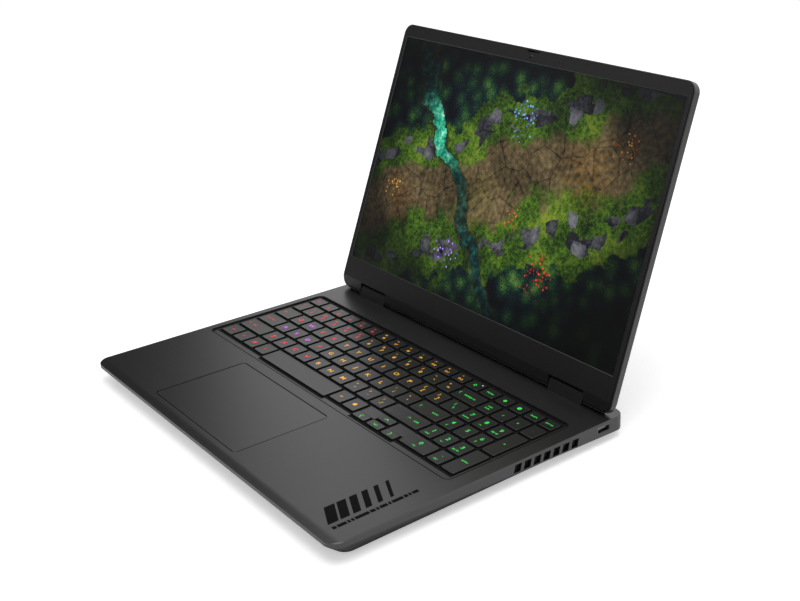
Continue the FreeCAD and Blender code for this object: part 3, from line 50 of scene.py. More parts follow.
print("frame loaded:", len(nodes), "nodes")


# small tools

def linear(hexColour):
    # sRGB hex to linear RGBA
    parts = [int(hexColour[i:i + 2], 16) / 255 for i in (1, 3, 5)]
    return [p / 12.92 if p <= 0.04045 else ((p + 0.055) / 1.055) ** 2.4 for p in parts] + [1.0]


def addNode(tree, kind, settings=None, links=None):
    # one node: a setting is a ramp's stops, an input's value or a property, a link is the socket for an input
    node = tree.nodes.new("ShaderNode" + kind)
    for name, value in (settings or {}).items():
        if name == "stops":
            elements = node.color_ramp.elements
            while len(elements) < len(value):
                elements.new(0.5)
            for element, (spot, colour) in zip(elements, value):
                element.position = spot
                element.color = linear(colour)
        elif isinstance(name, int) or name in node.inputs:
            node.inputs[name].default_value = value
        else:
            setattr(node, name, value)
    for name, socket in (links or {}).items():
        tree.links.new(socket, node.inputs[name])
    return node


def per(size):
    # a pattern's scale from its size in mm
    return 1 / (size * mm)


def newMaterial(name):
    material = bpy.data.materials.new(name)
    material.use_nodes = True
    tree = material.node_tree
    tree.nodes.clear()
    return material, tree, addNode(tree, "TexCoord").outputs["Object"]


def addShader(tree, settings, links=None):
    shader = addNode(tree, "BsdfPrincipled", settings, links)
    addNode(tree, "OutputMaterial", links={"Surface": shader.outputs[0]})


def addSheet(name, points, faces, *materials):
    # points and faces into an object of the scene
    mesh = bpy.data.meshes.new(name)
    mesh.from_pydata(np.asarray(points, float).tolist(), [], [list(map(int, f)) for f in faces])
    for material in materials:
        mesh.materials.append(material)
    sheet = bpy.data.objects.new(name, mesh)
    bpy.context.scene.collection.objects.link(sheet)
    return sheet


def addMesh(name, points, faces, body, slot, materials=None, smooth=False, materialIndex=None):
    # a piece that rides on a body, in its slot's finish or its own
    piece = addSheet(name, points, faces, *(materials or [slotFinish[slot]]))
    mesh = piece.data
    mesh.polygons.foreach_set("use_smooth", np.full(len(mesh.polygons), smooth))
    if materialIndex is not None:
        mesh.polygons.foreach_set("material_index", np.asarray(materialIndex, np.int32))
    mesh.update()
    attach(piece, body)
    return piece


def ringFaces(rings, count, first=0, close=True):
    # quads between neighbouring rings of count points, ring after ring
    ring, spot = np.meshgrid(np.arange(rings - 1), np.arange(count if close else count - 1), indexing="ij")
    after = (spot + 1) % count
    quads = [ring * count + spot, ring * count + after, (ring + 1) * count + after, (ring + 1) * count + spot]
    return (np.stack(quads, -1).reshape(-1, 4) + first).tolist()


def roundedRing(left, right, front, back, corner, steps=4):
    # rectangle with quarter circles at its corners, anticlockwise from above
    angles = np.linspace(0, math.pi / 2, steps)
    turns = np.concatenate([angles + k * math.pi / 2 for k in range(4)])
    centreX = np.repeat([right - corner, left + corner, left + corner, right - corner], steps)
    centreY = np.repeat([back - corner, back - corner, front + corner, front + corner], steps)
    return np.stack([centreX + corner * np.cos(turns), centreY + corner * np.sin(turns)], -1)


def atHeight(outline, height):
    return np.column_stack([outline, np.full(len(outline), height)])


def capped(rings):
    # a closed solid of rings with flat ends: points, faces
    count = len(rings[0])
    faces = ringFaces(len(rings), count)
    faces.append(list(range(count))[::-1])
    faces.append(list(range((len(rings) - 1) * count, len(rings) * count)))
    return np.concatenate(rings), faces


def closedStack(outline, levels):
    # a solid of one outline, pulled in towards its middle: levels are (inset, height)
    rings = []
    for inset, height in levels:
        ring = roundedRing(outline[0] + inset, outline[1] - inset, outline[2] + inset, outline[3] - inset,
                           max(outline[4] - inset, 0.2 * outline[4]))
        rings.append(atHeight(ring, height))
    return capped(rings)


def joined(parts):
    # several (points, faces) into one
    points, faces, first = [], [], 0
    for spots, polygons in parts:
        points.append(spots)
        faces += [[i + first for i in polygon] for polygon in polygons]
        first += len(spots)
    return np.concatenate(points), faces


def turned(profile, centre, steps=20):
    # profile of (radius, height) spun about a vertical line, its ends closed
    turn = np.linspace(0, 2 * math.pi, steps, endpoint=False)
    rings = [np.stack([centre[0] + r * np.cos(turn), centre[1] + r * np.sin(turn),
                       np.full(steps, centre[2] + z)], -1) for r, z in profile]
    return capped(rings)


def block(low, high):
    # a bar between two corners: points, faces
    square = np.array([[0, 0], [1, 0], [1, 1], [0, 1]])
    corner = np.column_stack([np.tile(square, (2, 1)), np.repeat([0, 1], 4)])
    faces = [[0, 3, 2, 1], [4, 5, 6, 7], [0, 1, 5, 4], [1, 2, 6, 5], [2, 3, 7, 6], [3, 0, 4, 7]]
    return np.asarray(low) + corner * (np.asarray(high) - np.asarray(low)), faces


# the lid's own frame: x to the right, up along the lid, out of the screen

lid = {"hinge": Vector(joints["lid_hinge"]["pos_m"]), "opening": math.radians(110.25)}
lidTilt = math.pi - lid["opening"]
lidUp = np.array([0, math.cos(lidTilt), math.sin(lidTilt)])
lidOut = np.array([0, -math.sin(lidTilt), math.cos(lidTilt)])


def onLid(points):
    points = np.asarray(points, float)
    across = points[:, :1] * np.array([[1.0, 0, 0]])
    return np.array(lid["hinge"]) + across + points[:, 1:2] * lidUp + points[:, 2:3] * lidOut


# camera, at the photograph's viewing angle

cameraPlan = {
    "place": (750.41, -520.27, 458.68),      # mm
    "right": (0.63645932, 0.77108789, -0.01852029),
    "down": (0.20363758, -0.19114595, -0.96020568),
    "forward": (-0.74394306, 0.60736043, -0.27867909),
    "focalPixels": 1226.72,
    "centrePixels": (470.0, 160.0),
    "imagePixels": (800, 601),
}


def setCamera(plan):
    data = bpy.data.cameras.new("camera")
    width, height = plan["imagePixels"]
    data.sensor_width = 36
    data.sensor_fit = "HORIZONTAL"
    data.lens = plan["focalPixels"] / width * data.sensor_width
    data.shift_x = (width / 2 - plan["centrePixels"][0]) / width
    data.shift_y = (plan["centrePixels"][1] - height / 2) / width
    data.clip_end = 50
    camera = bpy.data.objects.new("camera", data)
    right, down, forward = (Vector(plan[k]) for k in ("right", "down", "forward"))
    turn = Matrix([right, -down, -forward]).transposed().to_4x4()
    camera.matrix_world = Matrix.Translation(Vector(plan["place"]) * mm) @ turn
    bpy.context.scene.collection.objects.link(camera)
    bpy.context.scene.camera = camera


setCamera(cameraPlan)
bpy.context.scene.view_settings.view_transform = "Standard"
print("camera set")


# studio: pale floor, white surroundings, one soft lamp overhead and a bent dark card on the left

studio = {
    "ambient": 0.55,
    "floorSize": 8.0,
    "floorSteps": 9,
    "floorDrop": 0.0002,
    "floorLift": 0.42,
    "lampPower": 26.0,
    "lampPlace": (0.5, -0.3, 2.2),
    "lampSize": 1.8,
    "cardRadius": 2.4,
    "cardFrom": 156.0,      # degrees round from the right
    "cardTo": 275.0,
    "cardHeights": (2.4, 0.95),
    "cardFalls": (188.0, 206.0),      # degrees between which its top edge falls
}


def buildWorld(plan):
    # white where it is looked at or mirrored, dimmer as a light
    world = bpy.data.worlds.new("studio")
    world.use_nodes = True
    tree = world.node_tree
    tree.nodes.clear()
    path = addNode(tree, "LightPath")
    seen = addNode(tree, "Math", {"operation": "MAXIMUM"},
                   {0: path.outputs["Is Camera Ray"], 1: path.outputs["Is Glossy Ray"]})
    seen = addNode(tree, "Math", {"operation": "MAXIMUM"},
                   {0: seen.outputs[0], 1: path.outputs["Is Transmission Ray"]})
    level = addNode(tree, "MapRange", {"To Min": plan["ambient"], "To Max": 1.0}, {"Value": seen.outputs[0]})
    background = addNode(tree, "Background", {"Color": (1, 1, 1, 1)}, {"Strength": level.outputs[0]})
    addNode(tree, "OutputWorld", links={"Surface": background.outputs[0]})
    bpy.context.scene.world = world


def buildFloor(plan):
    # a flat sheet, with a little lift for the camera so that it meets the white background
    half = plan["floorSize"] / 2
    side = np.linspace(-half, half, plan["floorSteps"])
    x, y = np.meshgrid(side, side)
    points = np.stack([x.ravel(), y.ravel(), np.full(x.size, -plan["floorDrop"])], -1)
    material, tree, place = newMaterial("white_paper_sweep")
    grain = addNode(tree, "TexNoise", {"Scale": 120.0, "Detail": 2.0}, {"Vector": place})
    tone = addNode(tree, "ValToRGB", {"stops": [(0.3, "#f4f4f4"), (0.7, "#fafafa")]},
                   {"Fac": grain.outputs[0]})
    path = addNode(tree, "LightPath")
    lift = addNode(tree, "MapRange", {"To Max": plan["floorLift"]}, {"Value": path.outputs["Is Camera Ray"]})
    addShader(tree, {"Emission Color": (1, 1, 1, 1), "Roughness": 0.9, "Specular IOR Level": 0.1},
              {"Base Color": tone.outputs[0], "Emission Strength": lift.outputs[0]})
    floor = addSheet("floor", points, ringFaces(*x.shape, close=False), material)


def buildCards(plan):
    # a bent black card, which only reflections see
    turn, share = np.meshgrid(np.linspace(plan["cardFrom"], plan["cardTo"], 25), np.linspace(0.0, 1.0, 3))
    height = share * np.interp(turn, plan["cardFalls"], plan["cardHeights"])
    angle = np.radians(turn)
    points = np.stack([plan["cardRadius"] * np.cos(angle), plan["cardRadius"] * np.sin(angle), height], -1)
    material, tree, _ = newMaterial("black_card")
    addShader(tree, {"Base Color": linear("#060606"), "Roughness": 1.0})
    faces = ringFaces(*turn.shape, close=False)
    card = addSheet("dark_card", points.reshape(-1, 3), faces, material)
    card.visible_camera = False
    card.visible_diffuse = False
    card.visible_shadow = False


def buildLamp(plan):
    data = bpy.data.lights.new("softbox", "AREA")
    data.shape = "SQUARE"
    data.size = plan["lampSize"]
    data.energy = plan["lampPower"]
    lamp = bpy.data.objects.new("softbox", data)
    lamp.location = plan["lampPlace"]
    lamp.rotation_euler = (Vector((0, 0, 0)) - lamp.location).to_track_quat("-Z", "Y").to_euler()
    bpy.context.scene.collection.objects.link(lamp)


buildWorld(studio)
buildFloor(studio)
buildCards(studio)
buildLamp(studio)
print("studio built")


# finishes

def grained(name, dark, light, grain, roughness, bump=0.05, metallic=0.0, ior=1.5, stretch=(1, 1, 1),
            broad=60.0):
    # a grain of that many mm over a broad cloudy change of tone; the grain also moves roughness and height
    material, tree, place = newMaterial(name)
    drawn = addNode(tree, "Mapping", {"Scale": stretch}, {"Vector": place}).outputs[0]
    fine = addNode(tree, "TexNoise", {"Scale": per(grain), "Detail": 2.0}, {"Vector": drawn})
    cloud = addNode(tree, "TexNoise", {"Scale": per(broad), "Detail": 3.0}, {"Vector": place})
    both = addNode(tree, "Mix", {"data_type": "FLOAT", "Factor": 0.3},
                   {2: fine.outputs["Fac"], 3: cloud.outputs["Fac"]})
    tone = addNode(tree, "ValToRGB", {"stops": [(0.3, dark), (0.7, light)]}, {"Fac": both.outputs[0]})
    rough = addNode(tree, "MapRange", {"To Min": roughness[0], "To Max": roughness[1]},
                    {"Value": fine.outputs["Fac"]})
    relief = addNode(tree, "Bump", {"Strength": bump, "Distance": grain * mm * 0.5},
                     {"Height": fine.outputs["Fac"]})
    addShader(tree, {"Metallic": metallic, "IOR": ior}, {
        "Base Color": tone.outputs[0], "Roughness": rough.outputs[0], "Normal": relief.outputs[0]})
    return material


# one for each slot
slotFinish = {
    # blasted and dyed aluminium: a fine even sparkle, drawn at 0.9 mm so that it shows, soft broad highlights
    # its sealed oxide film (IOR 1.76) mirrors the pale studio at a low angle over a nearly black dye
    "deck_metal": grained("blasted_dyed_aluminium", "#0b0b0c", "#121213", 0.9, (0.27, 0.36), 0.05, ior=1.76),
    # painted ABS caps: the deck's colour, a little smoother
    "keycap": grained("painted_abs_cap", "#0b0b0c", "#121213", 0.7, (0.27, 0.36), 0.04, ior=1.7),
    # moulded PC-ABS frame below the keys: nearly black, matt
    "key_frame": grained("moulded_black_frame", "#030303", "#060606", 0.8, (0.6, 0.7), 0.05, ior=1.25),
    # textured PC bezel: black with a shallow spark-eroded tooth
    "bezel": grained("spark_textured_bezel", "#070707", "#0c0c0c", 0.8, (0.38, 0.5), 0.08, ior=1.45),
    # silicone rubber: black, matt, no sparkle
    "rubber": grained("silicone_rubber", "#0c0c0c", "#131313", 1.2, (0.7, 0.82), 0.05),
    # glass-filled nylon cover: dark grey with a coarser tooth
    "under_plastic": grained("glass_filled_nylon", "#161617", "#1f1f20", 1.1, (0.5, 0.65), 0.12),
    # rolled steel: bright, drawn along its length
    "steel": grained("rolled_steel", "#6f7072", "#8a8b8d", 0.8, (0.3, 0.42), 0.03, 1.0, stretch=(0.1, 1, 1)),
    # insert plastic of sockets: black and satin
    "socket_plastic": grained("socket_insert", "#050505", "#090909", 0.6, (0.45, 0.55), 0.03, ior=1.2),
    # folded aluminium fins: dull grey
    "fin_metal": grained("folded_aluminium_fin", "#3a3b3d", "#515254", 0.6, (0.35, 0.5), 0.03, 1.0),
    # flattened copper pipe: warm with faint stains
    "copper": grained("copper_pipe", "#8a4f35", "#b06a48", 1.5, (0.3, 0.45), 0.03, 1.0, broad=20.0),
    # solder-masked board: dark green-black with a fine weave
    "board": grained("solder_masked_board", "#0a1a12", "#12281b", 0.6, (0.35, 0.5), 0.04),
    # heat-shrunk battery wrap: satin black
    "battery_wrap": grained("battery_wrap", "#121213", "#1b1b1d", 2.0, (0.35, 0.5), 0.05),
}
# a cap's skirt: ABS, darker and duller than its top
skirtPlastic = grained("dark_matt_cap_skirt", "#040404", "#070707", 0.8, (0.6, 0.7), 0.03, ior=1.25)
# matt black ink, which mirrors far less than the metal below it; it also paints the shade inside the
# microphone holes
printInkAndHoleShade = grained("printed_ink_and_hole_shade", "#030303", "#080808", 0.8, (0.45, 0.55), 0.02, ior=1.12)
# smoked acrylic over the camera, a shade darker than the bezel
smokedWindow = grained("smoked_acrylic_window", "#050505", "#090909", 0.6, (0.28, 0.34), 0.0, ior=1.42)
# zinc-plated dark screws
screwMetal = grained("black_zinc_screw", "#2a2a2b", "#3b3b3d", 0.4, (0.3, 0.4), 0.03, 1.0)
# camera glass: black with a blue coating
lensGlass = grained("coated_lens_glass", "#05060a", "#0a1020", 0.5, (0.05, 0.1), 0.0, ior=1.6)


def rectangleGap(tree, place, box):
    # distance outside a rectangle (left, right, front, back in mm), negative inside, in metres
    middle = ((box[0] + box[1]) / 2 * mm, (box[2] + box[3]) / 2 * mm, 0)
    half = ((box[1] - box[0]) / 2 * mm, (box[3] - box[2]) / 2 * mm, 0)
    away = addNode(tree, "VectorMath", {"operation": "SUBTRACT", 1: middle}, {0: place}).outputs[0]
    away = addNode(tree, "VectorMath", {"operation": "ABSOLUTE"}, {0: away}).outputs[0]
    away = addNode(tree, "VectorMath", {"operation": "SUBTRACT", 1: half}, {0: away}).outputs[0]
    parts = addNode(tree, "SeparateXYZ", links={"Vector": away})
    widest = addNode(tree, "Math", {"operation": "MAXIMUM"}, {0: parts.outputs["X"], 1: parts.outputs["Y"]})
    return widest.outputs[0]


def twoTone(name, inside, outside, boxes):
    # one finish inside the rectangles, another outside them; a finish is (colours, roughness, IOR)
    material, tree, place = newMaterial(name)
    gap = rectangleGap(tree, place, boxes[0])
    for box in boxes[1:]:
        own = rectangleGap(tree, place, box)
        gap = addNode(tree, "Math", {"operation": "MINIMUM"}, {0: gap, 1: own}).outputs[0]
    within = addNode(tree, "Math", {"operation": "LESS_THAN", 1: 0.0}, {0: gap}).outputs[0]
    shades = []
    for colours, roughness, ior in (outside, inside):
        grain = addNode(tree, "TexNoise", {"Scale": per(0.8), "Detail": 2.0}, {"Vector": place})
        tone = addNode(tree, "ValToRGB", {"stops": [(0.3, colours[0]), (0.7, colours[1])]},
                       {"Fac": grain.outputs[0]})
        part = addNode(tree, "BsdfPrincipled", {"Roughness": roughness, "IOR": ior},
                       {"Base Color": tone.outputs[0]})
        shades.append(part.outputs[0])
    mix = addNode(tree, "MixShader", links={0: within, 1: shades[0], 2: shades[1]})
    addNode(tree, "OutputMaterial", links={"Surface": mix.outputs[0]})
    return material


def glowing(name, colour, strength):
    # light through a laser-cut legend: even, a little patchy from the cap's paint
    material, tree, place = newMaterial(name)
    patch = addNode(tree, "TexNoise", {"Scale": per(2.5), "Detail": 2.0}, {"Vector": place})
    tone = addNode(tree, "ValToRGB", {"stops": [(0.3, colour[0]), (0.7, colour[1])]},
                   {"Fac": patch.outputs[0]})
    addShader(tree, {"Emission Strength": strength, "Roughness": 0.5},
              {"Base Color": tone.outputs[0], "Emission Color": tone.outputs[0]})
    return material


legendLight = {
    "red": glowing("red_legend", ("#c81e24", "#f03038"), 0.66),
    "violet": glowing("violet_legend", ("#b040c8", "#d860ee"), 0.7),
    "amber": glowing("amber_legend", ("#c88a20", "#eab038"), 0.62),
    "green": glowing("green_legend", ("#22b038", "#3ad850"), 0.64),
    "white": glowing("white_lamp", ("#d8d8d8", "#f4f4f4"), 0.9),
}

for name, node in nodes.items():
    for place in node.material_slots:
        plain = place.material.name.split(".")[0] if place.material else ""
        if plain in slotFinish:
            place.material = slotFinish[plain]
print("finishes made")


# screen picture: a brook through a meadow between dark woods, seen from above

picture = {
    "middle": 132.5,          # mm above the hinge
    "halfWidth": 172.3,
    "halfHeight": 107.7,
    "strength": 0.95,
    "film": (0.36, 0.44),
    # places and radii in mm from the screen's middle
    "sunlit": ((-84, 34), 52),
    "shadow": ((150, -92), 105),
    "patches": [((96, 34), 46, "#6a4a12"), ((-20, -18), 40, "#4a4a10"), ((-130, -40), 34, "#5a3208")],
    "beds": [((70, -58), 26, "#7a0c14", "#ff4a36"), ((128, 62), 20, "#a03008", "#ffb040"),
             ((10, 60), 22, "#3a3aa0", "#8ac8ff"), ((-46, -70), 22, "#4a2a86", "#b89aff"),
             ((-136, -30), 16, "#a04808", "#ffd060"), ((26, -24), 13, "#8a1018", "#ff7a50")],
}


# kinds of row in the picture: node, its settings, its inputs in the row's order, the output that a link takes
rowKinds = {
    "axes": ("SeparateXYZ", {}, ["Vector"], 0),
    "tints": ("SeparateColor", {}, ["Color"], 0),
    "noise": ("TexNoise", {}, ["Vector", "Scale", "Detail"], 0),
    "cells": ("TexVoronoi", {}, ["Vector", "Scale"], 0),
    "crowns": ("TexVoronoi", {"feature": "SMOOTH_F1"}, ["Vector", "Scale", "Smoothness"], 0),
    "joints": ("TexVoronoi", {"feature": "DISTANCE_TO_EDGE"}, ["Vector", "Scale"], 0),
    "blocks": ("TexVoronoi", {"distance": "CHEBYCHEV"}, ["Vector", "Scale", "Randomness"], 0),
    "range": ("MapRange", {}, ["Value", "To Min", "To Max"], 0),
    "mask": ("MapRange", {"interpolation_type": "SMOOTHSTEP"}, ["Value", "From Min", "From Max"], 0),
    "ramp": ("ValToRGB", {}, ["Fac", "stops"], 0),
    "share": ("Mix", {"data_type": "FLOAT"}, ["Factor", 2, 3], 0),
}
for name, mode in {"cover": "MIX", "brighten": "SCREEN", "darken": "MULTIPLY"}.items():
    rowKinds[name] = ("Mix", {"data_type": "RGBA", "blend_type": mode}, ["Factor", 6, 7], 2)
for name, mode in {"scaled": "MULTIPLY_ADD", "sum": "ADD", "less": "SUBTRACT", "product": "MULTIPLY",
                   "size": "ABSOLUTE"}.items():
    rowKinds[name] = ("Math", {"operation": mode}, [0, 1, 2], 0)
for name, mode, output in (("away", "SUBTRACT", 0), ("times", "MULTIPLY", 0), ("length", "LENGTH", 1),
                           ("dot", "DOT_PRODUCT", 1)):
    rowKinds[name] = ("VectorMath", {"operation": mode}, [0, 1], output)


def pictureRows(plan):
    # rows of (name, kind, values); a word among the values is a link from an earlier row
    # a mask runs from 0 at its first distance to 1 at its second, in metres; a cover's last lies on top
    rows = [("axes", "axes", "flat")]
    noises = {
        "light": (46, 3), "blade": (1.7, 4), "drift": (80, 2), "soilWide": (44, 3), "soilFine": (4.5, 5),
        "fray": (12, 5), "stoneGrain": (3, 4), "leafFine": (1.5, 5), "leafWide": (26, 3), "rimFray": (16, 5),
        "swirlWide": (7, 5), "swirlFine": (2.4, 3), "bedFray": (9, 4), "dapple": (5, 4), "tooth": (0.6, 2),
    }
    rows += [(name, "noise", "flat", per(size), detail) for name, (size, detail) in noises.items()]
    # round spots, 1 in the middle and 0 at the radius
    spots = {"sunlit": plan["sunlit"], "shadow": plan["shadow"]}
    spots.update({"patch" + str(n): patch[:2] for n, patch in enumerate(plan["patches"])})
    spots.update({"sow" + str(n): bed[:2] for n, bed in enumerate(plan["beds"])})
    for name, (centre, radius) in spots.items():
        rows += [(name + "Off", "away", "flat", (centre[0] * mm, centre[1] * mm, 0)),
                 (name + "Far", "length", name + "Off"),
                 (name, "mask", name + "Far", radius * mm, 0.0)]
    rows += [
        # grass in tufts under a wide change of light
        ("tuft", "crowns", "flat", per(3.6), 0.4),
        ("turf", "share", 0.36, "light", "blade"),
        ("sward", "share", 0.16, "turf", "tuft"),
        ("grass", "ramp", "sward", [(0.34, "#0c1508"), (0.43, "#1f3410"), (0.50, "#365417"),
                                    (0.57, "#52741f"), (0.66, "#83902f")]),
        # dry bank from the lower left to the upper right: earth with half-sunken flat stones
        ("wander", "scaled", "drift", 0.10, -0.05),
        ("slant", "scaled", "axes.X", -0.38, "axes.Y"),
        ("along", "sum", "slant", "wander"),
        ("aside", "sum", "along", -0.006),
        ("bank", "size", "aside"),
        ("soil", "share", 0.5, "soilWide", "soilFine"),
        ("joint", "joints", "flat", per(24)),
        ("crack", "mask", "joint", 0.0, 0.035),
        ("ground", "share", 0.10, "soil", "crack"),
        ("earth", "ramp", "ground", [(0.36, "#15130d"), (0.46, "#3a3222"), (0.56, "#5c4e36"),
                                     (0.70, "#857553")]),
        ("ragged", "scaled", "fray", 0.034, "bank"),
        ("bankMask", "mask", "ragged", 0.050, 0.036),
        ("withBank", "cover", "bankMask", "grass", "earth"),
        # grey boulders along the bank, light above and dark below
        ("stone", "blocks", "flat", per(13), 0.8),
        ("stoneTint", "tints", "stone.Color"),
        ("stoneFace", "share", 0.6, "stoneTint.Red", "stoneGrain"),
        ("stoneForm", "share", 0.35, "stoneFace", "stone"),
        ("rock", "ramp", "stoneForm", [(0.25, "#75767c"), (0.42, "#4c4d52"), (0.55, "#26272c"),
                                       (0.72, "#0a0b0e")]),
        ("offBank", "sum", "bank", -0.050),
        ("lined", "size", "offBank"),
        ("lineMask", "mask", "lined", 0.0095, 0.008),
        ("stonePick", "mask", "stoneTint.Green", 0.5, 0.52),
        ("stoneMask", "product", "lineMask", "stonePick"),
        ("withStones", "cover", "stoneMask", "withBank", "rock"),
        # woods beyond, as crowns lit from above with blue shade between them
        ("leaf", "share", 0.44, "leafFine", "leafWide"),
        ("crown", "crowns", "flat", per(15), 0.12),
        ("crownTop", "less", 1.0, "crown"),
        ("canopy", "share", 0.3, "leaf", "crownTop"),
        ("wood", "ramp", "canopy", [(0.40, "#03060c"), (0.47, "#0a1a22"), (0.53, "#123022"),
                                    (0.59, "#28502a"), (0.68, "#5c7f38")]),
        ("spread", "size", "along"),
        ("rim", "scaled", "rimFray", 0.07, "spread"),
        ("woodMask", "mask", "rim", 0.109, 0.115),
        ("withWoods", "cover", "woodMask", "withStones", "wood"),
        # brook from the upper left across the bank, bright where the sun falls on it
        ("swirl", "share", 0.35, "swirlWide", "swirlFine"),
        ("acrossX", "scaled", "axes.X", 0.78, 0.046),
        ("across", "scaled", "axes.Y", 0.62, "acrossX"),
        ("bent", "scaled", "wander", 0.9, "across"),
        ("offBrook", "size", "bent"),
        ("bed", "scaled", "bedFray", 0.016, "offBrook"),
        ("sunny", "ramp", "swirl", [(0.34, "#0c5a4c"), (0.46, "#1ea080"), (0.56, "#4fdcaa"),
                                    (0.66, "#d4fff0")]),
        ("shaded", "ramp", "swirl", [(0.34, "#04100f"), (0.5, "#0b2c2a"), (0.64, "#1f5a52")]),
        ("water", "cover", "sunlit", "shaded", "sunny"),
        ("shore", "ramp", "swirl", [(0.35, "#0a0c08"), (0.65, "#3c3a28")]),
        ("shoreMask", "mask", "bed", 0.0205, 0.0165),
        ("withShore", "cover", "shoreMask", "withWoods", "shore"),
        ("waterMask", "mask", "bed", 0.0165, 0.0155),
        ("withWater", "cover", "waterMask", "withShore", "water"),
    ]
    # warm patches of sun, then beds of small flowers, each of its own two colours
    below = "withWater"
    for n, (_, _, colour) in enumerate(plan["patches"]):
        tone, over = "warm" + str(n), "withPatch" + str(n)
        rows += [(tone, "ramp", "dapple", [(0.4, "#000000"), (0.66, colour)]),
                 (over, "brighten", "patch" + str(n), below, tone)]
        below = over
    rows += [("dots", "cells", "flat", per(2.7)), ("dotTint", "tints", "dots.Color"),
             ("petal", "mask", "dots", 0.42, 0.30)]
    for n, (_, _, deep, pale) in enumerate(plan["beds"]):
        tone, seed, sown, mask, over = (k + str(n) for k in ("petals", "seed", "sown", "flower", "withBed"))
        rows += [(tone, "ramp", "dotTint.Green", [(0.1, deep), (0.9, pale)]),
                 (seed, "sum", "sow" + str(n), "dotTint.Red"),
                 (sown, "mask", seed, 1.02, 1.06),
                 (mask, "product", "petal", sown),
                 (over, "cover", mask, below, tone)]
        below = over
    # darker towards the corners, and most at the lower right
    rows += [("shares", "times", "flat", (per(plan["halfWidth"]), per(plan["halfHeight"]), 0)),
             ("corner", "dot", "shares", "shares"),
             ("far", "scaled", "shadow", 0.8, "corner"),
             ("dim", "product", "far", 0.5),
             ("shade", "ramp", "dim", [(0.25, "#ffffff"), (0.5, "#787c86"), (1.0, "#2c3038")]),
             ("whole", "darken", 1.0, below, "shade"),
             ("film", "range", "tooth", *plan["film"])]
    return rows


def screenGlow(plan):
    # an IPS panel lit from behind under a matt film
    material, tree, place = newMaterial("lit_display_panel")
    own = addNode(tree, "Mapping", {"vector_type": "TEXTURE", "Location": lid["hinge"],
                                    "Rotation": (lidTilt, 0, 0)}, {"Vector": place})
    flat = addNode(tree, "Mapping", {"Location": (0, -plan["middle"] * mm, 0), "Scale": (1, 1, 0)},
                   {"Vector": own.outputs[0]})
    sockets = {"flat": flat.outputs[0]}
    for name, kind, *values in pictureRows(plan):
        node, settings, entries, main = rowKinds[kind]
        given = dict(zip(entries, values))
        links = {k: sockets[v] for k, v in given.items() if isinstance(v, str)}
        fixed = {k: v for k, v in given.items() if not isinstance(v, str)}
        made = addNode(tree, node, {**settings, **fixed}, links)
        sockets[name] = made.outputs[main]
        sockets.update({name + "." + output.name: output for output in made.outputs})
    addShader(tree, {"Emission Strength": plan["strength"], "Base Color": linear("#020202"), "IOR": 1.3},
              {"Emission Color": sockets["whole"], "Roughness": sockets["film"]})
    return material


panelGlow = screenGlow(picture)
for place in nodes["display_panel"].material_slots:
    place.material = panelGlow
print("screen picture made")


# keys: caps with rolled edges in place of the plain ones, and their lit legends

keyboard = {
    "gap": 2.3,
    "letter": 18.07,
    "corner": 1.35,
    "lean": (0.6, 0.3, 0.7, 0.2),      # left, right, front, back
    "roll": 0.45,
    "dish": 0.06,
    "drop": 3.0,
    "lift": 0.065,         # legend above the dish
    # painted shade: the black frame reaches this far in front of the keys
    "shade": 1.2,          # black frame seen in front of the keys
    "padRim": 0.55,
}


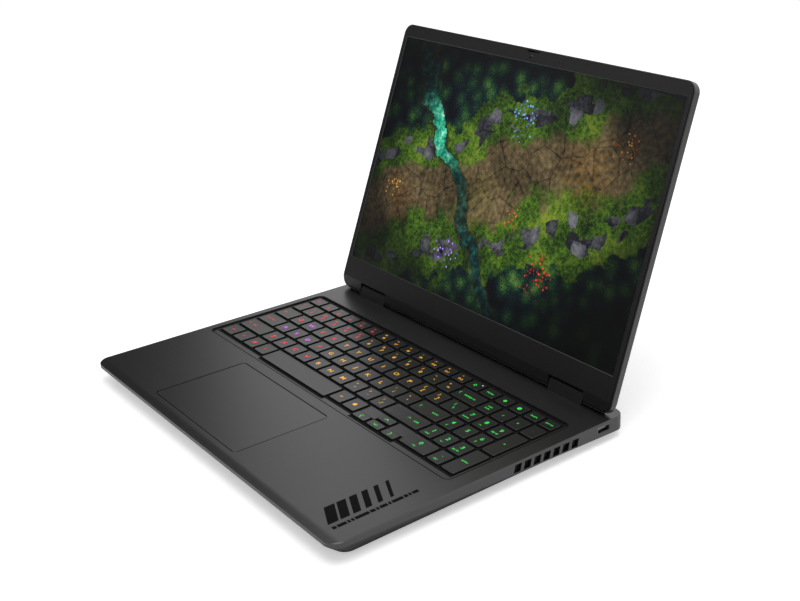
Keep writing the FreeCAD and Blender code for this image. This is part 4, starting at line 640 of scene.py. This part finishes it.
def layOutKeys(plan):
    # rows and columns from the frame's own keys: (node, legends, left, right, front, back) in mm
    def span(node):
        low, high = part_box(node)
        half = plan["gap"] / 2
        return [low.x / mm - half, high.x / mm + half, low.y / mm - half, high.y / mm + half]

    left, mainEnd = span("tab_key")[0], span("enter_key")[1]
    padEnd = span("numpad_plus_key")[1]
    padPitch = (padEnd - mainEnd) / 4
    rows = [span(n)[2:] for n in ("power_key", "backspace_key", "tab_key", "caps_lock_key", "left_shift_key")]
    low = span("space_bar")
    rows.append([low[2] + plan["drop"], low[3]])
    keys = []

    def run(row, x, node, legends, width=None):
        # keys of one width side by side, or a key up to the end of the main block
        for legend in legends:
            end = mainEnd if width is None else x + width
            keys.append((node, legend, x, end, *rows[row]))
            x = end
        return x

    pitch = plan["letter"]
    functions = [("f" + str(n), mark) for n, mark in enumerate("?*-+=#o<:>x*", 1)]
    x = run(0, left, "function_row_keys", ["esc"], 0.957 * pitch)
    x = run(0, x, "function_row_keys", functions, 0.966 * pitch)
    x = run(0, x, "power_key", ["power"], span("power_key")[1] - x)
    run(0, x, "function_row_keys", ["delete"])
    x = run(1, left, "number_row_keys", [("`", "~")], 0.825 * pitch)
    x = run(1, x, "number_row_keys", zip("1234567890-=", "!@#$%^&*()_+"), pitch)
    run(1, x, "backspace_key", [("word", "<", mainEnd - 26.3 - x, mainEnd - 14.3 - x, "backspace")])
    x = run(2, left, "tab_key", ["tab"], 1.323 * pitch)
    x = run(2, x, "upper_letter_keys", [*"QWERTYUIOP", ("[", "{"), ("]", "}")], pitch)
    run(2, x, "upper_letter_keys", [("\\", "|")])
    x = run(3, left, "caps_lock_key", ["caps lock"], 1.566 * pitch)
    x = run(3, x, "home_letter_keys", [*"ASDFGHJKL", (";", ":"), ("'", '"')], pitch)
    run(3, x, "enter_key", [("word", "<", mainEnd - 29.3 - x, mainEnd - 10.8 - x, "enter")])
    x = run(4, left, "left_shift_key", [("word", "^", 6.6, 15.0, "shift")], 2.07 * pitch)
    x = run(4, x, "lower_letter_keys", [*"ZXCVBNM", (",", "<"), (".", ">"), ("/", "?")], pitch)
    run(4, x, "right_shift_key", [("word", "^", mainEnd - 19.3 - x, mainEnd - 10.3 - x, "shift")])
    x = run(5, left, "modifier_keys", ["ctrl"], 1.074 * pitch)
    x = run(5, x, "modifier_keys", ["fn", "#", "alt"], pitch)
    keys.append(("space_bar", "", x, low[1], low[2], low[3]))
    x = run(5, low[1], "modifier_keys", ["alt", "disc"], pitch)
    third, middle = (mainEnd - x) / 3, (low[2] + low[3]) / 2
    for column, mark in enumerate(("left", "down", "right")):
        keys.append(("arrow_keys", mark, x + column * third, x + (column + 1) * third, low[2], middle))
    keys.append(("arrow_keys", "up", x + third, x + 2 * third, middle, low[3]))
    run(0, mainEnd, "function_row_keys", ["diamond", "disc", "insert", "prt-sc"], padPitch)
    run(1, mainEnd, "numpad_keys", ["num lock", "/", "x", "-"], padPitch)
    pads = [("7", "home"), ("8", "^"), ("9", "pg up"), ("4", "<"), ("5", ""), ("6", ">"),
            ("1", "end"), ("2", "v"), ("3", "pg dn")]
    for row in range(3):
        run(row + 2, mainEnd, "numpad_keys", [("pad", *c) for c in pads[3 * row:3 * row + 3]], padPitch)
    x = run(5, mainEnd, "numpad_keys", [("pad", "0", "ins")], 2 * padPitch)
    run(5, x, "numpad_keys", [("pad", ".", "del")], padPitch)
    last = mainEnd + 3 * padPitch
    keys.append(("numpad_plus_key", "+", last, padEnd, rows[3][0], rows[2][1]))
    keys.append(("numpad_enter_key", "enter", last, padEnd, rows[5][0], rows[4][1]))
    return keys


def capShape(plan, left, right, front, back, low, high):
    # rings from the skirt up round a rolled edge to a shallow dish; the walls lean in most at the front
    inset, roll = plan["gap"] / 2, plan["roll"]
    edges = np.array([left + inset, right - inset, front + inset, back - inset])
    inward = np.array([1, -1, 1, -1])
    lean = np.array(plan["lean"])
    rings = []
    for share, pulled, height in ((0.0, 0.0, low), (0.75, 0.0, high - roll), (1.0, 0.0, high - 0.35 * roll),
                                  (1.0, 0.25 * roll, high - 0.1 * roll), (1.0, 0.6 * roll, high),
                                  (1.0, 3.0, high - plan["dish"])):
        ring = roundedRing(*(edges + inward * (share * lean + pulled)), max(plan["corner"] - pulled, 0.3))
        rings.append(atHeight(ring, height))
    points, faces = capped(rings)
    return points * mm, faces


glyphs = {}


def glyph(text):
    # flat letter mesh of unit size, centred, as points and faces
    if text not in glyphs:
        curve = bpy.data.curves.new("glyph", "FONT")
        curve.body = text
        curve.resolution_u = 2
        curve.offset = 0.018      # bolder strokes
        holder = bpy.data.objects.new("glyph", curve)
        bpy.context.scene.collection.objects.link(holder)
        mesh = bpy.data.meshes.new_from_object(holder.evaluated_get(bpy.context.evaluated_depsgraph_get()))
        points = np.zeros(len(mesh.vertices) * 3)
        mesh.vertices.foreach_get("co", points)
        points = points.reshape(-1, 3)[:, :2]
        points = points - (points.min(0) + points.max(0)) / 2
        glyphs[text] = points, [list(p.vertices) for p in mesh.polygons]
        bpy.data.objects.remove(holder)
        bpy.data.curves.remove(curve)
        bpy.data.meshes.remove(mesh)
    return glyphs[text]


def printed(text, x, y, z, height, wide=1.2):
    # a word laid flat with its middle at (x, y), in mm
    points, faces = glyph(text)
    scaled = points * np.array([wide, 1.0]) * height / 0.72
    return atHeight(scaled + np.array([x, y]), z) * mm, faces


def ringMark(x, y, z, outer, inner, steps=20):
    # a flat ring, or a filled disc when it has no inside
    turn = np.linspace(0, 2 * math.pi, steps, endpoint=False)
    circle = np.stack([np.cos(turn), np.sin(turn)], -1)
    rim = atHeight(np.array([x, y]) + outer * circle, z)
    if inner == 0:
        return rim * mm, [list(range(steps))]
    hole = atHeight(np.array([x, y]) + inner * circle, z)
    return np.concatenate([rim, hole]) * mm, ringFaces(2, steps)


# turns of the arrow keys and of small arrows beside a word or digit
turns = {"left": math.pi / 2, "right": -math.pi / 2, "up": 0.0, "down": math.pi}
turns.update({"<": turns["left"], ">": turns["right"], "^": turns["up"], "v": turns["down"]})


def chevron(x, y, z, turn, wide, tall, line):
    # two strokes that meet in a point, turned about (x, y)
    half = wide / 2
    points = np.array([[-half, -tall / 2], [0, tall / 2 - line], [half, -tall / 2], [half, -tall / 2 + line],
                       [0, tall / 2], [-half, -tall / 2 + line]])
    c, s = math.cos(turn), math.sin(turn)
    spun = points @ np.array([[c, s], [-s, c]])
    return atHeight(spun + np.array([x, y]), z) * mm, [[0, 1, 4, 5], [1, 2, 3, 4]]


def legendParts(legend, left, right, front, back, z):
    # words and marks of one key; the numbers are their offsets and heights in mm
    x, y = (left + right) / 2, (front + back) / 2
    if legend in turns:
        return [chevron(x, y, z, turns[legend], 4.2, 2.3, 0.85)]
    if legend == "power":
        return [ringMark(x - 0.6, y, z, 1.5, 0.95), ringMark(x - 0.6, y + 0.9, z, 0.35, 0.0, 8)]
    if legend in ("disc", "diamond"):
        return [ringMark(x, y, z, 1.9, 0.0, 4 if legend == "diamond" else 16)]
    if isinstance(legend, tuple) and legend[0] == "pad":
        parts = [printed(legend[1], x + 0.6, y + 1.9, z, 3.7)]
        if legend[2] in turns:
            parts.append(chevron(x - 0.6, y - 3.8, z, turns[legend[2]], 2.6, 1.5, 0.55))
        elif legend[2]:
            parts.append(printed(legend[2], x - 0.6, y - 3.8, z, 1.8))
        return parts
    if isinstance(legend, tuple) and legend[0] == "word":
        # an arrow and a word, each at its own place from the key's left edge
        return [chevron(left + legend[2], y + 0.4, z, turns[legend[1]], 3.0, 1.8, 0.6),
                printed(legend[4], left + legend[3], y, z, 1.9)]
    if isinstance(legend, tuple):
        # a function key's name and mark, or a sign and its shifted sign
        spots = ((0.9, -1.9, 2.5), (-1.6, 2.9, 2.2))
        if len(legend[0]) == 1:
            spots = ((0.9, -1.6, 3.5), (-2.2, 3.4, 2.5))
        return [printed(word, x + dx, y + dy, z, size) for word, (dx, dy, size) in zip(legend, spots)]
    if legend in ("x", "-", "+", "/"):
        return [printed(legend, x, y, z, 1.2 if legend == "-" else 2.2)]
    if len(legend) == 1:
        return [printed(legend, x, y, z, 3.9, 1.35)]
    if " " in legend and right - left < 18:
        first, second = legend.split()
        return [printed(first, x, y + 1.5, z, 1.8), printed(second, x, y - 1.5, z, 1.8)]
    if right - left > 20:
        return [printed(legend, left + 4.5 + 0.85 * len(legend), y, z, 1.9)]
    return [printed(legend, x, y, z, 1.9)]


zones = {
    "violet": {"W", "A", "S", "D"},
    "green": {"power_key", "backspace_key", "enter_key", "right_shift_key", "arrow_keys", "numpad_keys",
              "numpad_plus_key", "numpad_enter_key"},
    # the red zone ends at these places, mm from the middle, group by group
    "redTo": {"function_row_keys": -66, "number_row_keys": -66, "tab_key": 0, "upper_letter_keys": -72,
              "caps_lock_key": 0, "home_letter_keys": -67, "left_shift_key": 0, "lower_letter_keys": -58,
              "modifier_keys": -50, "space_bar": 0},
}


def zoneOf(node, legend, x, mainEnd):
    # colour of a key's light: red on the left, amber in the middle, green on the right
    if legend in zones["violet"]:
        return "violet"
    if node in zones["green"] or legend in ("delete", ("\\", "|")) or x > mainEnd:
        return "green"
    return "red" if x < zones["redTo"][node] else "amber"


def buildKeys(plan):
    keys = layOutKeys(plan)
    lights = list(legendLight)
    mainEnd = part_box("enter_key")[1].x / mm
    for node in dict.fromkeys(k[0] for k in keys):
        low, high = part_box(node)
        low, high = low.z / mm, high.z / mm
        mine = [k for k in keys if k[0] == node]
        points, faces = joined([capShape(plan, *k[2:], low, high) for k in mine])
        # a face that ends below the rolled edge belongs to the dark skirt
        tops = np.array([points[f, 2].max() for f in faces]) / mm
        skirt = (tops < high - 0.2 * plan["roll"]).astype(int)
        finishes = [slotFinish["keycap"], skirtPlastic]
        caps = addMesh(node + "_caps", points, faces, node, "keycap", finishes, materialIndex=skirt)
        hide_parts(node)
        parts, colours = [], []
        for _, legend, left, right, front, back in mine:
            if not legend:
                continue
            z = high - plan["dish"] + plan["lift"]
            zone = zoneOf(node, legend, (left + right) / 2, mainEnd)
            for part in legendParts(legend, left, right, front, back, z):
                parts.append(part)
                colours += [lights.index(zone)] * len(part[1])
        if parts:
            points, faces = joined(parts)
            glows = list(legendLight.values())
            addMesh(node + "_legends", points, faces, node, "keycap", glows, materialIndex=colours)
    return keys


keys = buildKeys(keyboard)
print("keys built:", len(keys))


def tintFrame(plan):
    # the frame wears the deck's finish round the keys and in the two free half cells, and is black elsewhere:
    # a dark floor between the keys, with painted shade just in front of the front row and along the back
    # strip
    cells = {k[1]: k[2:] for k in keys if k[0] == "arrow_keys"}
    space = next(k[2:] for k in keys if k[0] == "space_bar")
    spans = np.array([k[2:] for k in keys])
    left, right, back = spans[:, 0].min(), spans[:, 1].max(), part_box("keyboard_frame")[1].y / mm
    plain, rowBack = space[2] + plan["drop"] - plan["shade"], space[3]
    space = (space[0], space[1], space[2] - plan["shade"], space[3])
    start, end = cells["left"][0], cells["right"][1]
    boxes = [(left, right, rowBack, back), (left, start, plain, rowBack), space,
             (start, end, space[2], cells["left"][3]), cells["up"], (end, right, plain, rowBack)]
    deckTone = (("#0b0b0c", "#121213"), 0.32, 1.76)
    dark = (("#030303", "#060606"), 0.65, 1.25)
    frameFinish = twoTone("keyboard_frame_two_tone", dark, deckTone, boxes)
    nodes["keyboard_frame"].material_slots[0].material = frameFinish
    # etched glass pad with a dark rim, slightly clearer than the metal round it
    low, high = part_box("touchpad")
    edge = plan["padRim"]
    pad = (low.x / mm + edge, high.x / mm - edge, low.y / mm + edge, high.y / mm - edge)
    glass = (("#0f0f10", "#141415"), 0.30, 1.76)
    nodes["touchpad"].material_slots[0].material = twoTone("etched_glass_with_dark_rim", glass, dark, [pad])


tintFrame(keyboard)

# painted shade: a thin dark ring on the deck round the keyboard's opening, for the shadow of the well's step
wellEdgeShade = {"left": -170.6, "right": 164.5, "front": -67.6, "back": 48.5, "corner": 5.0, "width": 0.9,
        "lift": 0.012}
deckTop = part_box("top_case")[1].z / mm
rings = []
for grow in (0.0, wellEdgeShade["width"]):
    ring = roundedRing(wellEdgeShade["left"] - grow, wellEdgeShade["right"] + grow, wellEdgeShade["front"] - grow, wellEdgeShade["back"] + grow,
                       wellEdgeShade["corner"] + grow, 6)
    rings.append(atHeight(ring, deckTop + wellEdgeShade["lift"]))
faces = [f[::-1] for f in ringFaces(2, len(rings[0]))]
addMesh("keyboard_well_edge_shade", np.concatenate(rings) * mm, faces, "base", "key_frame")


# fine cooling fins behind the side slots

fins = {"pitch": 1.25, "thickness": 0.35, "sheet": 0.4, "depths": (7.6, 2.4)}      # right, left


def buildFins(plan):
    low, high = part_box("side_fin_stacks")
    right, left = plan["depths"]
    sides = [(high.x - right * mm, high.x), (low.x, low.x + left * mm)]
    pitch, thick, sheet = (plan[k] * mm for k in ("pitch", "thickness", "sheet"))
    parts = []
    for inner, outer in sides:
        count = int((high.y - low.y - thick) / pitch)
        for n in range(count + 1):
            y = low.y + n * pitch
            parts.append(block((inner, y, low.z + sheet), (outer, y + thick, high.z - sheet)))
        parts.append(block((inner, low.y, low.z), (outer, high.y, low.z + sheet)))
        parts.append(block((inner, low.y, high.z - sheet), (outer, high.y, high.z)))
    points, faces = joined(parts)
    piece = addMesh("fine_side_fins", points, faces, "base", "fin_metal")
    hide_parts("side_fin_stacks")


buildFins(fins)
print("fins built")


# hinge towers as smooth covers, a lining behind each notch and a lip that closes the gap below the lid

hinges = {
    "front": 3.05,           # mm from the axis to the cover's sloped front
    "radius": 3.75,
    "rise": 5.15,
    "liningRadius": (3.85, 4.4),
    "liningTurn": (8.0, 43.0),       # degrees behind the lid's plane
    "liningTop": 7.4,
    "liningOut": (-1.75, -1.0),
    "liningSpare": 0.6,
    "lipRadius": 5.0,
    "lipInner": 3.9,
    "lipTurn": (-21.0, 31.0),        # degrees from the lid's lower edge
    "lipSpare": 1.0,
    "lipEnds": 9.5,
    "ends": ((0.0, 0.93), (0.25, 0.985), (0.6, 1.0)),      # (mm from a cover's end, share of its size)
}


def spunProfile(profile, path):
    # a closed profile of (y, z) swept along x; path gives (x, share of full size) at each ring
    middle = (profile.min(0) + profile.max(0)) / 2
    rings = [np.column_stack([np.full(len(profile), x), middle + (profile - middle) * share])
             for x, share in path]
    return capped(rings)


def buildHinges(plan):
    axis = np.array(lid["hinge"])[1:] / mm
    up, out = lidUp[1:], lidOut[1:]
    radius, front, rise = plan["radius"], plan["front"], plan["rise"]
    # arc from straight behind the axis over the top to the sloped front, then down to the deck
    high = up * math.sqrt(radius ** 2 - front ** 2) + out * front
    foot = high - up * (high[1] + rise) / up[1]
    turn = np.linspace(0.0, math.atan2(high[1], high[0]), 14)
    arc = radius * np.stack([np.cos(turn), np.sin(turn)], -1)
    profile = axis + np.concatenate([[[radius, -rise]], arc, [foot]])
    # the lining wraps round behind the cover: (up, out) on the lid, inner arc then outer arc
    near, far = plan["liningRadius"]
    turn = np.radians(np.linspace(*plan["liningTurn"], 8))
    inner = near * np.stack([np.cos(turn), -np.sin(turn)], -1)
    outer = far * np.stack([np.cos(turn[::-1]), -np.sin(turn[::-1])], -1)[:5]
    lining = np.concatenate([inner, outer, [[plan["liningTop"], out] for out in plan["liningOut"]]])
    for side in ("left", "right"):
        node = "hinge_tower_" + side
        low, high = (v.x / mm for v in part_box(node))
        path = [(low + far, share) for far, share in plan["ends"]]
        path += [(high - far, share) for far, share in plan["ends"][::-1]]
        points, faces = spunProfile(profile, path)
        points[:, 2] = np.maximum(points[:, 2], axis[1] - rise)
        cover = addMesh("hinge_cover_" + side, points * mm, faces, "base", "deck_metal", [hingePlastic])
        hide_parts(node)
        spare = plan["liningSpare"]
        points, faces = spunProfile(lining, [(low - spare, 1.0), (high + spare, 1.0)])
        addMesh("notch_lining_" + side, onLid(points * mm), faces, "lid", "bezel")
    # the lip is an arc below the lid's edge with a flat inside, in three lengths between the towers
    turn = np.radians(np.linspace(*plan["lipTurn"], 12))
    arc = plan["lipRadius"] * np.stack([-np.cos(turn), np.sin(turn)], -1)
    lip = np.concatenate([arc, [[-plan["lipInner"], arc[-1, 1]], [-plan["lipInner"], arc[0, 1]]]])[::-1]
    inner, outer = (v.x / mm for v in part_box("hinge_tower_right"))
    inner, outer = inner - plan["lipSpare"], outer + plan["lipSpare"]
    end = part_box("lid_cover")[1].x / mm - plan["lipEnds"]
    lengths = ((-end, -outer), (-inner, inner), (outer, end))
    points, faces = joined([spunProfile(lip, [(a, 1.0), (b, 1.0)]) for a, b in lengths])
    addMesh("lid_lower_lip", onLid(points * mm), faces, "lid", "bezel")


# satin black PC-ABS covers of the hinges
hingePlastic = grained("satin_hinge_cover", "#0a0a0a", "#101010", 0.9, (0.45, 0.55), 0.05, ior=1.4)
buildHinges(hinges)
print("hinge covers built")


# camera window, microphones and status light

eyes = {
    "up": 245.1,
    "front": 4.75,
    "plate": (6.8, 5.8),
    "lensRadius": 1.5,
    "microphone": 33.3,
    "holeRadius": 0.45,
}


def buildCameraWindow(plan):
    wide, tall = plan["plate"]
    z = plan["front"]
    ring = (-wide / 2, wide / 2, plan["up"] - tall / 2, plan["up"] + tall / 2, 0.6)
    points, faces = closedStack(ring, [(0.0, z + 0.01), (0.05, z + 0.06), (0.15, z + 0.08)])
    addMesh("camera_window", onLid(points * mm), faces, "lid", "bezel", [smokedWindow])
    dome = [(plan["lensRadius"] * math.cos(a), 0.18 * math.sin(a)) for a in np.linspace(0, 1.5, 5)]
    points, faces = turned(dome, (0, plan["up"], z + 0.08))
    addMesh("camera_lens", onLid(points * mm), faces, "lid", "bezel", [lensGlass], smooth=True)
    # painted shade: each microphone hole is a small black disc on the bezel, for the dark inside of the hole
    hole = [(plan["holeRadius"], 0.01), (plan["holeRadius"] * 0.9, 0.03)]
    points, faces = joined([turned(hole, (side * plan["microphone"], plan["up"], z)) for side in (-1, 1)])
    addMesh("microphone_holes", onLid(points * mm), faces, "lid", "bezel", [printInkAndHoleShade])


buildCameraWindow(eyes)


# the bezel's inner edge, a narrow chamfer that catches the light, coloured lighter as a painted highlight

chamfer = {"width": 0.4, "drop": 0.25, "corner": 0.5}


def buildChamfer(plan, screen):
    # two rings, on the bezel's face and a little inside and behind it
    rings = []
    for inward, out in ((plan["width"], eyes["front"] - plan["drop"]), (0.0, eyes["front"] + 0.01)):
        ring = roundedRing(-screen["halfWidth"] + inward, screen["halfWidth"] - inward,
                           screen["middle"] - screen["halfHeight"] + inward,
                           screen["middle"] + screen["halfHeight"] - inward, plan["corner"])
        rings.append(atHeight(ring, out))
    faces = [f[::-1] for f in ringFaces(2, len(rings[0]))]
    points = onLid(np.concatenate(rings) * mm)
    addMesh("bezel_chamfer", points, faces, "lid", "bezel", [edgeHighlightPlastic])


# the same bezel plastic, polished by the mould along this edge, its colour lightened as a painted highlight
edgeHighlightPlastic = grained("bezel_edge_painted_highlight", "#1a1a1b", "#222223", 0.8, (0.3, 0.4), 0.03, ior=1.6)
buildChamfer(chamfer, picture)

lamp = {"place": (72.5, 41.9), "radius": 0.55}
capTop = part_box("power_key")[1].z / mm
dome = [(lamp["radius"] * math.cos(a), 0.12 * math.sin(a)) for a in np.linspace(0, 1.5, 4)]
points, faces = turned(dome, (*lamp["place"], capTop - 0.05), 12)
addMesh("power_light", points * mm, faces, "power_key", "keycap", [legendLight["white"]], smooth=True)

# home bars on two keys of the middle row
bars = {"width": 3.6, "depth": 0.6, "rise": 0.12, "below": 5.4, "corner": 0.28}
parts = []
for node, legend, left, right, front, back in keys:
    if legend in ("F", "J"):
        x, y = (left + right) / 2, (front + back) / 2 - bars["below"]
        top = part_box(node)[1].z / mm - keyboard["dish"]
        wide, deep, rise = bars["width"] / 2, bars["depth"] / 2, bars["rise"]
        edge = (x - wide, x + wide, y - deep, y + deep, bars["corner"])
        parts.append(closedStack(edge, [(0.0, top - 0.02), (0.03, top + 0.6 * rise), (0.12, top + rise)]))
points, faces = joined(parts)
addMesh("home_bars", points * mm, faces, "home_letter_keys", "keycap")
print("small lights and bars built")


# palm-rest print along the right edge: a row of slanted bars, wide to narrow, and a line of dashes beside it

palm = {
    "bars": (137.5, 156.5),       # mm across the deck
    "front": -158.5,
    "back": -90.0,
    "lean": 9.0,
    "count": 6,
    "widest": 0.84,               # share of the pitch, less by the next for each bar
    "narrows": 0.11,
    "dashes": (160.0, 163.2),
    "dashGap": 0.9,
    "dashLengths": (3, 7, 2, 2, 11, 4, 2, 6, 2, 9, 3, 2, 5),
    "rise": 0.02,
}


def buildPalmPrint(plan):
    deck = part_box("top_case")[1].z / mm + plan["rise"]
    near, far = plan["bars"]
    lean, pitch = plan["lean"], (plan["back"] - plan["front"] - plan["lean"]) / plan["count"]
    marks = []
    for n in range(plan["count"]):
        y, width = plan["front"] + n * pitch, pitch * (plan["widest"] - plan["narrows"] * n)
        marks.append([[near, y + lean], [far, y], [far, y + width], [near, y + lean + width]])
    y = plan["front"]
    near, far = plan["dashes"]
    for length in plan["dashLengths"]:
        marks.append([[near, y], [far, y], [far, y + length], [near, y + length]])
        y += length + plan["dashGap"]
    points, faces = joined([(atHeight(m, deck) * mm, [[0, 1, 2, 3]]) for m in marks])
    addMesh("palm_print", points, faces, "base", "deck_metal", [printInkAndHoleShade])


buildPalmPrint(palm)

# screws of the bottom cover

screws = {
    "radius": 2.3,
    "rise": 0.45,
    # shares of radius and rise from the socket's floor round the head's edge
    "profile": ((0.35, 0.0), (0.4, 0.55), (0.5, 0.6), (0.55, 1.0), (0.85, 1.0), (1.0, 0.6)),
    "seat": 0.2,
    "places": ((-150, -140), (0, -146), (150, -140), (-160, -20), (160, -20), (-60, 40), (60, 40), (-165, 60),
               (165, 60)),
}
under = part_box("bottom_cover")[0].z / mm
profile = [(r * screws["radius"], -h * screws["rise"]) for r, h in screws["profile"]]
profile.append((screws["radius"], screws["seat"]))
points, faces = joined([turned(profile, (x, y, under), 16) for x, y in screws["places"]])
addMesh("cover_screws", points * mm, faces, "base", "steel", [screwMetal])
print("print and screws built")
